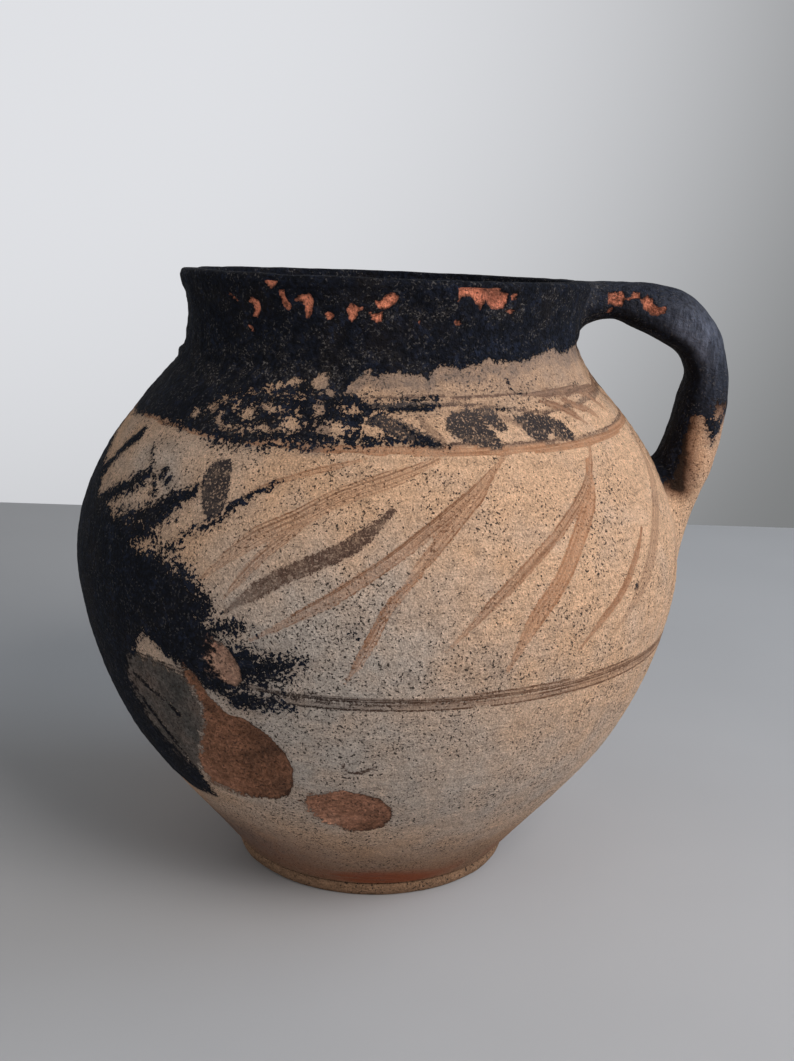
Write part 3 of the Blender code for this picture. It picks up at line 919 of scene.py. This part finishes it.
# Chips on the handle's near side, in the (x, z) plane, mm
HANDLE_CHIPS = (
    ((85.3, 235), (91.5, 235), (91.8, 232), (90.8, 229.6), (85.3, 230.2)),
    ((91.5, 232.4), (93.5, 233.2), (95, 235.6), (97.4, 235.3), (97.6, 233.2), (95, 232.6), (93, 231.6)),
    ((97, 232.8), (100.2, 234.2), (101.8, 233), (102.8, 230.4), (105.2, 229.6), (107.2, 230.8),
     (106.8, 228.2), (104, 226.8), (101.4, 227.2), (98.8, 229.2), (97.6, 231.6)),
    ((84.5, 226.6), (86.5, 227), (88, 229), (86, 228.8)),
)
# Gaps in its soot: centre, half width and half height, mm
HANDLE_SOOT_GAPS = ((131.5, 191, 2.6, 4.2), (125.5, 179, 3.0, 3.2))


def handle_fields(points, angles):
    """Fields of points on the handle: soot above a slanting edge, chips, and smoked buff clay below."""
    x, y, z = (points / MM).T
    loose = layered_noise(points, 9 * MM, 81)
    fine = layered_noise(points, 3 * MM, 85, layers=2)
    facing = np.cos(angles)
    soot = (z - height_of(HANDLE_SOOT_EDGE, x)) * 0.8
    near = y < 2
    side_view = np.stack([x, z], axis=-1)
    for centre_x, centre_z, wide, high in HANDLE_SOOT_GAPS:
        offset = (side_view - (centre_x, centre_z)) / (wide, high)
        inside = (1 - np.hypot(*offset.T)) * wide
        soot = np.where(near, np.minimum(soot, -inside), soot)
    fields = plain_fields(len(points), inside=0.0)
    fields["soot"] = np.clip(soot + 1.0 * loose + 0.6 * fine, -FAR, FAR)
    fields["ragged"] = np.full(len(points), 0.7)
    bare = np.full(len(points), -FAR)
    for outline in HANDLE_CHIPS:
        depth = patch_depth(side_view, np.array(outline, dtype=float)) + 0.3 * fine
        bare = np.where(near, np.maximum(bare, depth), bare)
    fields["bare"] = np.clip(bare, -FAR, FAR)
    fields["tone"] = np.full(len(points), 0.95)
    scorch = 1 - smoothstep(116, 127, x + 2.0 * loose + 0.8 * fine)
    scorch = np.maximum(scorch, 0.8 * smoothstep(183, 196, z + 3 * loose))
    low_end = 162 - 5 * smoothstep(112, 122, x)
    fields["scorch"] = np.clip(scorch * smoothstep(low_end - 7, low_end + 4, z + 3 * loose), 0, 1)
    fields["haze"] = np.clip(0.5 * smoothstep(-7, 1, soot) + 0.15 * loose, 0, 1)
    fields["grey"] = np.clip(0.15 * loose, 0, 1)
    fields["dusty"] = 0.8 * (1 - smoothstep(82, 87, x + 1.5 * loose)) * smoothstep(200, 215, z)
    fields["smear_and_shade"] = 0.16 * smoothstep(150, 168, z) * (1 + 0.5 * loose)
    # Painted highlight: a pale bluish sheen spot on the strap's upper outer bend and its sides, where the
    # lamps glint; the same field also lowers the crust's roughness there
    shown = facing + 0.7 * np.abs(np.sin(angles))
    painted_highlight_spot = np.exp(-(((x - 118) / 13) ** 2) - ((z - 217) / 13) ** 2)
    fields["gloss_and_painted_sheen"] = smoothstep(-0.1, 0.7, shown) * smoothstep(183, 200, z) * (0.14 + 0.86 * painted_highlight_spot)
    return fields


def handle_relief(points, angles, fields):
    lumps = layered_noise(points, 22 * MM, 91)
    rough = layered_noise(points, 4 * MM, 95)
    sooty = smoothstep(-0.5, 1.2, fields["soot"])
    pit = smoothstep(-0.4, 0.8, fields["bare"]) * 0.6
    grooves = 0.12 * np.sin(5 * angles + 3 * soft_noise(points, 40 * MM, 97))
    grooves = grooves + 0.10 * np.sin(17 * angles + 4 * soft_noise(points, 25 * MM, 99))
    return (0.60 * lumps + 0.10 * rough + grooves + sooty * (0.12 + 0.16 * rough) - pit) * MM


def pot_azimuth(points):
    return np.degrees(np.arctan2(points[:, 0], -points[:, 1]))


def height_before_lean(points):
    height = points[:, 2].copy()
    for _ in range(4):
        bent = np.stack([points[:, 0], points[:, 1], height], axis=-1)
        height = height + points[:, 2] - lean(bent)[:, 2]
    return height


def below_surface(points):
    """How far each point lies inside the pot's outline, level across."""
    return outer_radius(height_before_lean(points)) - np.hypot(points[:, 0], points[:, 1])


def on_surface(azimuth, height):
    """Points just under the pot's real surface, where a luting's edge is worked in."""
    places = pot_point(azimuth, height, np.zeros_like(height))
    fields = surface_fields(azimuth, height, places)
    return pot_point(azimuth, height, relief(azimuth, height, places, fields) - 0.15 * MM)


def rim_top(azimuth):
    """Points on the rim's rounded top, a little in from its outer edge."""
    radius = float(outer_radius(HEIGHT - RIM_ROUNDING)) - 2.4 * MM
    angle = np.radians(azimuth)
    height = np.full_like(angle, HEIGHT + 0.1 * MM)
    return lean(np.stack([radius * np.sin(angle), -radius * np.cos(angle), height], axis=-1))


def crossing(sections, from_end):
    """For each angle, the row index (fractional) at which the strap's surface meets the pot."""
    inside = np.stack([below_surface(row) for row in sections])
    order = range(len(sections) - 1, 0, -1) if from_end else range(len(sections) - 1)
    found = np.full(SECTION_STEPS, np.nan)
    for i in order:
        j = i - 1 if from_end else i + 1
        meets = np.isnan(found) & (inside[i] > 0) & (inside[j] <= 0)
        share = inside[i] / np.where(meets, inside[i] - inside[j], 1)
        found = np.where(meets, i + (j - i) * share, found)
    return found


def at_rows(sections, rows):
    """The strap's surface at a fractional row for each angle."""
    low = np.clip(np.floor(rows).astype(int), 0, len(sections) - 2)
    t = np.clip(rows - low, 0, 1)[:, None]
    columns = np.arange(SECTION_STEPS)
    return sections[low, columns] * (1 - t) + sections[low + 1, columns] * t


def fillet(start, meet, end, count):
    """Rows of a smooth fillet from the strap's surface to the pot's."""
    return [(1 - t) ** 2 * start + 2 * t * (1 - t) * meet + t * t * end for t in np.linspace(0, 1, count)]


def strip_piece(node, rows, material):
    """A piece made of handle rows, with its fields. A luting's relief fades towards its last row."""
    points = np.vstack(rows)
    angles = np.tile(SECTION_ANGLES, len(rows))
    fields = handle_fields(points, angles)
    grid = points.reshape(len(rows), SECTION_STEPS, 3)
    across = np.roll(grid, -1, axis=1) - np.roll(grid, 1, axis=1)
    normal = np.cross(across, np.gradient(grid, axis=0)).reshape(-1, 3)
    normal /= np.linalg.norm(normal, axis=1)[:, None] + 1e-12
    centre = np.repeat(grid.mean(axis=1), SECTION_STEPS, axis=0)
    if ((points - centre) * normal).sum() < 0:
        normal = -normal
    weight = np.ones(len(rows))
    if node != "strap_handle":
        weight = 1 - np.linspace(0, 1, len(rows)) ** 2
    proud = handle_relief(points, angles, fields) * np.repeat(weight, SECTION_STEPS)
    points = points + normal * proud[:, None]
    faces = grid_faces(len(rows), SECTION_STEPS, closed_rows=False)
    quad = points[faces[0]]
    facing = np.cross(quad[1] - quad[0], quad[3] - quad[0])
    if facing @ (quad.mean(0) - points[:SECTION_STEPS].mean(0)) < 0:
        faces = faces[:, ::-1]
    make_piece(node, points, faces, fields, material)


def upper_luting(sections, meets, starts):
    """The fillet at the collar: wide below and at the sides, and smeared on to the rim above."""
    facing, side = np.cos(SECTION_ANGLES), np.sin(SECTION_ANGLES)
    meet = at_rows(sections, meets)
    spread = 8.5 * MM * (1 - 0.86 * np.clip(facing, 0, 1) ** 0.5)
    azimuth = pot_azimuth(meet) - np.degrees(spread * side / NECK_RADIUS)
    height = height_before_lean(meet) - spread * np.clip(-facing, -0.2, 1)
    end = on_surface(azimuth, np.minimum(height, HEIGHT - RIM_ROUNDING * 0.8))
    smeared = smoothstep(0.35, 0.85, facing)[:, None]
    end = end * (1 - smeared) + rim_top(azimuth) * smeared
    return fillet(at_rows(sections, starts), meet, end, 16)


def lower_luting(sections, meets, starts):
    """The fillet at the shoulder: smeared a long way down the belly, and a tight crease inside the loop."""
    facing, side = np.cos(SECTION_ANGLES), np.sin(SECTION_ANGLES)
    meet = at_rows(sections, meets)
    drop = 2.5 * MM + 23 * MM * np.clip(facing, 0, 1) ** 1.2 + 5 * MM * np.abs(side)
    azimuth = pot_azimuth(meet) - np.degrees(6.5 * MM * side / SHOULDER_RADIUS)
    height = height_before_lean(meet) - drop * (1.5 * smoothstep(-0.8, 0.0, facing) - 0.5)
    end = on_surface(azimuth, height)
    meet[:, 0] += 4.5 * MM * np.clip(facing, 0, 1)
    return fillet(at_rows(sections, starts), meet, end, 30)


def handle_pieces(material):
    """The strap and the two wads of luting, with shared rows where they meet."""
    line, half, outward = strap_line()
    sections = np.stack([section(*row) for row in zip(line, half, outward)])
    step = float(np.linalg.norm(np.diff(line, axis=0), axis=1).mean())
    facing = np.cos(SECTION_ANGLES)
    top_meets = crossing(sections, from_end=False)
    low_meets = crossing(sections, from_end=True)
    top_starts = top_meets + (9 * MM + 4 * MM * np.clip(-facing, 0, 1)) / step
    low_starts = low_meets - (7 * MM + 9 * MM * np.clip(facing, 0, 1)) / step
    upper = upper_luting(sections, top_meets, top_starts)
    strip_piece("rim_luting", upper, material)
    lower = lower_luting(sections, low_meets, low_starts)
    strip_piece("shoulder_luting", lower, material)
    shares = np.linspace(0, 1, STRAP_ROWS)
    strap = [at_rows(sections, top_starts * (1 - t) + low_starts * t) for t in shares]
    strip_piece("strap_handle", strap, material)


# ---------------------------------------------------------------- material

# Colours, linear
WARM_SLIP = (0.68, 0.425, 0.265, 1)
GREY_SLIP = (0.505, 0.428, 0.366, 1)
FOOT_SLIP = (0.26, 0.150, 0.088, 1)
SPECK = (0.040, 0.030, 0.026, 1)
# Red-brown of the real smears, also used for the painted shade low on the left
RED_SMEAR_AND_SHADE = (0.33, 0.090, 0.036, 1)
DARK_PAINT = (0.036, 0.029, 0.029, 1)
BROWN_PAINT = (0.465, 0.216, 0.108, 1)
SMOKE = (0.150, 0.122, 0.112, 1)
SCORCHED = (0.095, 0.034, 0.017, 1)
CHARRED = (0.010, 0.005, 0.004, 1)
CRUST_PIT = (0.0025, 0.0032, 0.0066, 1)
CRUST = (0.0125, 0.0160, 0.0290, 1)
BROWN_CRUST = (0.016, 0.012, 0.011, 1)
BLUE_CRUST = (0.019, 0.026, 0.050, 1)
# Painted highlight colour for the polished soot on the strap's bend
BURNISH_HIGHLIGHT_CRUST = (0.25, 0.27, 0.355, 1)
DUST = (0.058, 0.050, 0.046, 1)
PALE_FLECK = (0.20, 0.180, 0.170, 1)
# Painted shadow colour just inside the broken edges of spalls and chips
EDGE_SHADOW = (0.045, 0.03, 0.025, 1)
CLAY_SPECK = (0.05, 0.035, 0.03, 1)
SMOKED_INSIDE = ((0.085, 0.062, 0.048, 1), (0.21, 0.145, 0.105, 1))
# Bare clay by its tone: burnt grey, brown, orange, pale pink, then one fresh chip clay, painted darker where
# it is lit (0.92) and brighter where it is in shade (1.0)
CLAY_TONES = (
    (0.0, (0.122, 0.110, 0.098, 1)),
    (0.5, (0.285, 0.131, 0.075, 1)),
    (0.62, (0.40, 0.188, 0.115, 1)),
    (0.80, (0.48, 0.285, 0.200, 1)),
    (0.92, (0.38, 0.128, 0.078, 1)),
    (1.0, (0.84, 0.285, 0.165, 1)),
)
BUMP_DEPTH = 2.1 * MM


class Nodes:
    """A small writer for node trees: every call adds one node and returns its output."""

    def __init__(self, material):
        material.use_nodes = True
        self.tree = material.node_tree
        self.shader = self.tree.nodes["Principled BSDF"]

    def put(self, socket, value):
        if isinstance(value, bpy.types.NodeSocket):
            self.tree.links.new(value, socket)
        else:
            socket.default_value = value

    def make(self, kind, inputs, **settings):
        """One node with its settings, and its inputs in order or by name."""
        node = self.tree.nodes.new("ShaderNode" + kind)
        for name, value in settings.items():
            setattr(node, name, value)
        keys = inputs if isinstance(inputs, dict) else range(len(inputs))
        for key in keys:
            self.put(node.inputs[key], inputs[key])
        return node

    def math(self, operation, a, b=0.0, c=0.0, clamp=False):
        return self.make("Math", (a, b, c), operation=operation, use_clamp=clamp).outputs[0]

    def add(self, a, b):
        return self.math("ADD", a, b)

    def minus(self, a, b):
        return self.math("SUBTRACT", a, b)

    def times(self, a, b):
        return self.math("MULTIPLY", a, b)

    def scaled(self, value, gain, offset=0.0):
        """The value times gain, plus offset."""
        return self.math("MULTIPLY_ADD", value, gain, offset)

    def swing(self, noise, gain, middle=0.0):
        """Noise that swings about 0.5, made to swing about the middle."""
        return self.scaled(self.add(noise, -0.5), gain, middle)

    def step(self, value, low, high):
        """0 below low, 1 above high, smooth between."""
        inputs = {"Value": value, "From Min": low, "From Max": high}
        return self.make("MapRange", inputs, interpolation_type="SMOOTHSTEP").outputs["Result"]

    def vector(self, operation, a, b):
        return self.make("VectorMath", (a, b), operation=operation).outputs[0]

    def places(self):
        """Object coordinates in millimetres."""
        return self.vector("MULTIPLY", self.make("TexCoord", ()).outputs["Object"], (1000.0, 1000.0, 1000.0))

    def noise(self, where, size, detail=2.0, roughness=0.5):
        """Noise, 0 to 1 about 0.5, with features of this size in mm."""
        inputs = {"Vector": where, "Scale": 1.0 / size, "Detail": detail, "Roughness": roughness}
        return self.make("TexNoise", inputs).outputs["Fac"]

    def field(self, name):
        return self.make("Attribute", (), attribute_name=name).outputs["Fac"]

    def mix(self, share, a, b, blend="MIX"):
        inputs = {"Factor": share, "A": a, "B": b}
        return self.make("Mix", inputs, data_type="RGBA", blend_type=blend).outputs["Result"]

    def value_mix(self, share, a, b):
        return self.make("Mix", {"Factor": share, "A": a, "B": b}).outputs["Result"]

    def brighten(self, colour, amount):
        """The colour times a grey factor."""
        grey = self.make("CombineXYZ", (amount, amount, amount)).outputs[0]
        return self.mix(1.0, colour, grey, "MULTIPLY")


def grain_noises(n):
    """The noises that every layer of the clay shares, coarsest to finest."""
    where = n.places()
    return SimpleNamespace(
        where=where,
        coarse=n.noise(where, 14.0, 3.0),
        medium=n.noise(where, 4.5, 3.0, 0.6),
        fine=n.noise(where, 1.5, 3.0, 0.6),
        sand=n.noise(where, 0.60, 2.0, 0.6),
        turned=n.noise(n.vector("MULTIPLY", where, (0.05, 0.05, 1.0)), 1.4, 3.0, 0.6),
        pits=n.noise(n.vector("ADD", where, (31.0, 7.0, 53.0)), 0.95, 1.5, 0.6),
        deep_pits=n.noise(n.vector("ADD", where, (11.0, 71.0, 5.0)), 2.1, 1.5, 0.6),
        grains=n.noise(n.vector("ADD", where, (83.0, 17.0, 29.0)), 0.9, 1.0, 0.5),
    )


def slip_layer(n, g):
    """Slip, warm buff to grey, mottled, with wheel lines, sand grains and dark specks."""
    grey = n.math("ADD", n.field("grey"), n.swing(g.coarse, 0.9), clamp=True)
    slip = n.mix(grey, WARM_SLIP, GREY_SLIP)
    slip = n.mix(n.times(n.field("foot"), 0.9), slip, FOOT_SLIP)
    tone = n.swing(g.turned, 0.55, n.swing(g.medium, 0.75, 1.0))
    tone = n.scaled(n.step(g.sand, 0.34, 0.66), 0.44, tone)
    tone = n.scaled(n.step(g.fine, 0.30, 0.70), 0.26, tone)
    slip = n.brighten(slip, n.add(tone, -0.34))
    grainy = n.step(n.scaled(n.field("grey"), 0.12, n.noise(g.where, 18.0, 2.0)), 0.38, 0.64)
    g.specks = n.step(n.minus(g.pits, n.scaled(grainy, -0.075, 0.675)), 0.0, 0.030)
    g.specks = n.math("MAXIMUM", g.specks, n.step(g.deep_pits, 0.735, 0.755))
    slip = n.mix(n.times(g.specks, 0.92), slip, SPECK)
    g.pale_grains = n.times(n.step(g.grains, 0.58, 0.68), 0.55)
    slip = n.mix(g.pale_grains, slip, n.brighten(slip, 1.50))
    # Red smears, and the painted shade low on the left, in the same red-brown
    return n.mix(n.times(n.field("smear_and_shade"), n.step(g.turned, 0.25, 0.50)), slip, RED_SMEAR_AND_SHADE)


def paint_layer(n, g, surface):
    """Painting in thin slip, darker at its edges, with brush streaks along it."""
    cool = n.minus(1.0, n.field("warmth"))
    cooler = n.times(cool, cool)
    place = (n.times(n.field("across"), 1.35), n.noise(g.where, 22.0, 1.0), 0.0)
    place = n.make("CombineXYZ", place).outputs[0]
    lines = n.step(n.noise(place, 1.0, 2.0, 0.7), 0.40, 0.60)
    ragged = n.swing(g.medium, 0.5, n.swing(g.sand, 0.8, n.swing(g.fine, 1.0)))
    edge = n.scaled(ragged, n.scaled(cooler, 2.6, 1.4), n.field("paint"))
    cover = n.step(edge, -0.25, 0.35)
    streak_cut = n.value_mix(n.field("streaks"), 1.0, n.scaled(lines, 0.66, 0.34))
    pooled = n.scaled(n.minus(1.0, n.step(edge, 0.1, 0.9)), 0.25, 0.90)
    worn = n.step(n.swing(g.medium, 0.8, g.sand), 0.34, 0.56)
    share = n.times(n.times(cover, n.field("strength")), n.times(streak_cut, pooled))
    share = n.times(share, n.scaled(cooler, 0.32, 1.0))
    share = n.math("MULTIPLY", share, n.scaled(worn, 0.42, 0.62), clamp=True)
    share = n.times(share, n.scaled(n.times(cooler, n.step(g.grains, 0.56, 0.64)), -0.45, 1.0))
    paint = n.mix(n.field("warmth"), DARK_PAINT, BROWN_PAINT)
    paint = n.brighten(paint, n.scaled(n.times(lines, n.field("streaks")), -0.58, 1.22))
    paint = n.brighten(paint, n.swing(g.sand, 1.2, 1.0))
    return n.mix(share, surface, paint)


def smoke_layer(n, g, surface):
    """Smoke haze near the soot, and clay scorched red-brown."""
    haze = n.math("MULTIPLY", n.field("haze"), n.scaled(g.medium, 1.4, 0.1), clamp=True)
    surface = n.mix(n.times(haze, 0.80), surface, SMOKE)
    scorched = n.times(n.field("scorch"), n.scaled(g.medium, 1.0, 0.55))
    charred = n.mix(n.step(scorched, 0.50, 0.88), SCORCHED, CHARRED)
    return n.mix(n.math("MINIMUM", n.times(scorched, 1.25), 0.96), surface, charred)


def soot_layer(n, g, surface):
    """Soot crust, with an edge that crumbles, a polished bend that carries a painted bluish highlight, and
    pale grains that show through.
    """
    crumble = n.swing(g.sand, 9.0, n.swing(g.fine, 16.0, n.swing(g.medium, 8.0)))
    g.sooted = n.step(n.scaled(crumble, n.field("ragged"), n.field("soot")), -0.15, 0.30)
    crust = n.mix(n.step(g.fine, 0.35, 0.75), CRUST_PIT, CRUST)
    crust = n.mix(n.times(n.step(g.coarse, 0.50, 0.66), 0.45), crust, BROWN_CRUST)
    blue = n.times(n.step(n.noise(g.where, 7.0, 3.0, 0.6), 0.50, 0.66), n.step(g.fine, 0.38, 0.62))
    crust = n.mix(n.times(blue, 0.75), crust, BLUE_CRUST)
    # Painted highlight: streaks along the strap lifted to a pale blue where it catches the light
    striae = n.noise(n.vector("MULTIPLY", g.where, (1.0, 1.0, 0.12)), 1.6, 2.0, 0.6)
    burnish_and_highlight_share = n.times(n.field("gloss_and_painted_sheen"), n.scaled(n.step(striae, 0.30, 0.70), 0.52, 0.28))
    crust = n.mix(burnish_and_highlight_share, crust, BURNISH_HIGHLIGHT_CRUST)
    dusty = n.times(n.field("dusty"), n.step(g.medium, 0.40, 0.62))
    crust = n.mix(n.times(dusty, n.step(g.sand, 0.44, 0.60)), crust, DUST)
    pale = n.times(n.step(g.grains, 0.59, 0.66), n.step(g.medium, 0.44, 0.58))
    pale = n.times(pale, n.scaled(n.field("dusty"), 0.65, 0.30))
    return n.mix(g.sooted, surface, n.mix(pale, crust, PALE_FLECK))


def bare_layer(n, g, surface):
    """Bare clay in the spalls and chips, with a painted shadow just inside the broken edge."""
    soft = n.field("soft")
    edge = n.swing(g.fine, n.scaled(soft, 9.0, 1.8), n.field("bare"))
    edge = n.swing(g.medium, n.times(soft, 9.0), edge)
    g.bared = n.step(edge, n.scaled(soft, -1.4, -0.10), n.scaled(soft, 1.4, 0.18))
    tones = n.make("ValToRGB", (n.swing(g.coarse, 0.30, n.field("tone")),))
    ramp = tones.color_ramp.elements
    for place, _ in CLAY_TONES[1:-1]:
        ramp.new(place)
    for element, (_, colour) in zip(ramp, CLAY_TONES):
        element.color = colour
    clay = n.brighten(tones.outputs[0], n.swing(g.sand, 1.3, 1.0))
    clay = n.brighten(clay, n.swing(g.medium, 1.5, 1.0))
    clay = n.brighten(clay, n.swing(g.coarse, 1.3, 1.0))
    clay = n.brighten(clay, n.scaled(n.step(g.fine, 0.34, 0.66), 0.5, 0.75))
    clay = n.mix(n.times(g.specks, 0.7), clay, CLAY_SPECK)
    # Painted shadow: the clay darkens just inside the broken edge, as under an overhang
    edge_shadow_share = n.minus(1.0, n.step(edge, 0.15, 1.1))
    return n.mix(g.bared, surface, n.mix(n.times(edge_shadow_share, 0.60), clay, EDGE_SHADOW))


def grain_bump(n, g):
    """Sand grain everywhere, crumbs in the soot, and a sunk floor under the bare clay."""
    level = n.swing(g.fine, 0.42, n.swing(g.sand, 0.30))
    level = n.scaled(g.turned, 0.12, level)
    level = n.scaled(g.specks, -0.30, level)
    level = n.scaled(g.pale_grains, 0.16, level)
    crumbs = n.times(n.scaled(n.noise(g.where, 2.6, 4.0, 0.7), 1.0, 0.15), g.still_soot)
    level = n.scaled(crumbs, 1.3, level)
    level = n.scaled(n.times(g.medium, g.bared), 1.6, level)
    level = n.scaled(g.bared, -0.5, level)
    return n.make("Bump", {"Strength": 1.0, "Distance": BUMP_DEPTH, "Height": level}).outputs[0]


def clay_material():
    """Slip over terracotta, painting, smoke, soot crust and bare clay, from the mesh's fields."""
    material = bpy.data.materials.new("fire_blackened_clay")
    n = Nodes(material)
    g = grain_noises(n)
    surface = slip_layer(n, g)
    for layer in (paint_layer, smoke_layer, soot_layer, bare_layer):
        surface = layer(n, g, surface)
    surface = n.mix(n.field("inside"), surface, n.mix(g.medium, *SMOKED_INSIDE))
    g.still_soot = n.times(g.sooted, n.minus(1.0, g.bared))
    crust_rough = n.scaled(g.fine, 0.30, n.scaled(n.field("gloss_and_painted_sheen"), -0.45, 0.72))
    shader = n.shader.inputs
    n.put(shader["Base Color"], surface)
    n.put(shader["Roughness"], n.value_mix(g.still_soot, 0.93, crust_rough))
    n.put(shader["Normal"], grain_bump(n, g))
    shader["Specular IOR Level"].default_value = 0.16
    return material


# ---------------------------------------------------------------- stage

FLOOR_REACH = 4.0
FLOOR_BACK = 0.55


def floor_material():
    material = bpy.data.materials.new("pale_floor")
    n = Nodes(material)
    tone = n.noise(n.places(), 160.0, 3.0)
    n.put(n.shader.inputs["Base Color"], n.mix(tone, (0.47, 0.47, 0.48, 1), (0.54, 0.54, 0.55, 1)))
    n.shader.inputs["Roughness"].default_value = 0.85
    return material


def make_floor():
    mesh = bpy.data.meshes.new("floor")
    corners = [
        (-FLOOR_REACH, -FLOOR_REACH, 0),
        (FLOOR_REACH, -FLOOR_REACH, 0),
        (FLOOR_REACH, FLOOR_BACK, 0),
        (-FLOOR_REACH, FLOOR_BACK, 0),
    ]
    mesh.from_pydata(corners, [], [(0, 1, 2, 3)])
    mesh.materials.append(floor_material())
    floor = bpy.data.objects.new("floor", mesh)
    bpy.context.scene.collection.objects.link(floor)


def make_world():
    """A dim room with a broad bright patch behind the pot, brighter to the left."""
    world = bpy.data.worlds.new("studio")
    world.use_nodes = True
    tree = world.node_tree
    direction = tree.nodes.new("ShaderNodeTexCoord")
    towards = tree.nodes.new("ShaderNodeVectorMath")
    towards.operation = "DOT_PRODUCT"
    towards.inputs[1].default_value = (-0.26, 0.96, 0.10)
    tree.links.new(direction.outputs["Generated"], towards.inputs[0])
    share = tree.nodes.new("ShaderNodeMapRange")
    share.interpolation_type = "SMOOTHSTEP"
    share.inputs["From Min"].default_value = 0.80
    tree.links.new(towards.outputs["Value"], share.inputs["Value"])
    colour = tree.nodes.new("ShaderNodeMix")
    colour.data_type = "RGBA"
    colour.inputs["A"].default_value = (0.205, 0.210, 0.212, 1)
    colour.inputs["B"].default_value = (0.74, 0.75, 0.78, 1)
    tree.links.new(share.outputs["Result"], colour.inputs["Factor"])
    tree.links.new(colour.outputs["Result"], tree.nodes["Background"].inputs["Color"])
    bpy.context.scene.world = world


def soft_light(name, place, aim, size, power, colour):
    light = bpy.data.lights.new(name, "AREA")
    light.shape = "SQUARE"
    light.size = size
    light.energy = power
    light.color = colour
    lamp = bpy.data.objects.new(name, light)
    lamp.location = place
    lamp.rotation_euler = (Vector(aim) - Vector(place)).to_track_quat("-Z", "Y").to_euler()
    bpy.context.scene.collection.objects.link(lamp)


def make_lights():
    middle = (0, 0, 0.13)
    soft_light("window", (0.72, -0.78, 0.95), middle, 0.7, 10.8, (1.0, 0.96, 0.935))
    soft_light("sky", (1.10, 0.10, 0.75), middle, 0.8, 6.0, (0.74, 0.86, 1.0))
    soft_light("fill", (-1.1, -0.6, 0.5), middle, 0.8, 1.8, (0.95, 0.97, 1.0))


CAMERA_PLACE = (7.4 * MM, -583.9 * MM, 291.3 * MM)
CAMERA_PITCH = math.radians(15.0)
CAMERA_ROLL = math.radians(1.86)
LENS_MM = 50.4
SENSOR_MM = 36.0


def make_camera():
    camera = bpy.data.cameras.new("camera")
    camera.sensor_width = SENSOR_MM
    camera.lens = LENS_MM
    camera.clip_start = 0.01
    eye = bpy.data.objects.new("camera", camera)
    turn = Matrix.Rotation(math.radians(90) - CAMERA_PITCH, 4, "X") @ Matrix.Rotation(CAMERA_ROLL, 4, "Z")
    eye.matrix_world = Matrix.Translation(CAMERA_PLACE) @ turn
    bpy.context.scene.collection.objects.link(eye)
    bpy.context.scene.camera = eye


def main():
    bpy.context.scene.view_settings.view_transform = "Standard"
    make_camera()
    make_world()
    make_lights()
    make_floor()
    clay = clay_material()
    wall_piece("lower_wall", FOOT_SEAM, BELLY_SEAM, clay)
    wall_piece("shoulder_wall", BELLY_SEAM, NECK_SEAM, clay)
    collar_piece(clay)
    base_piece(clay)
    handle_pieces(clay)


main()
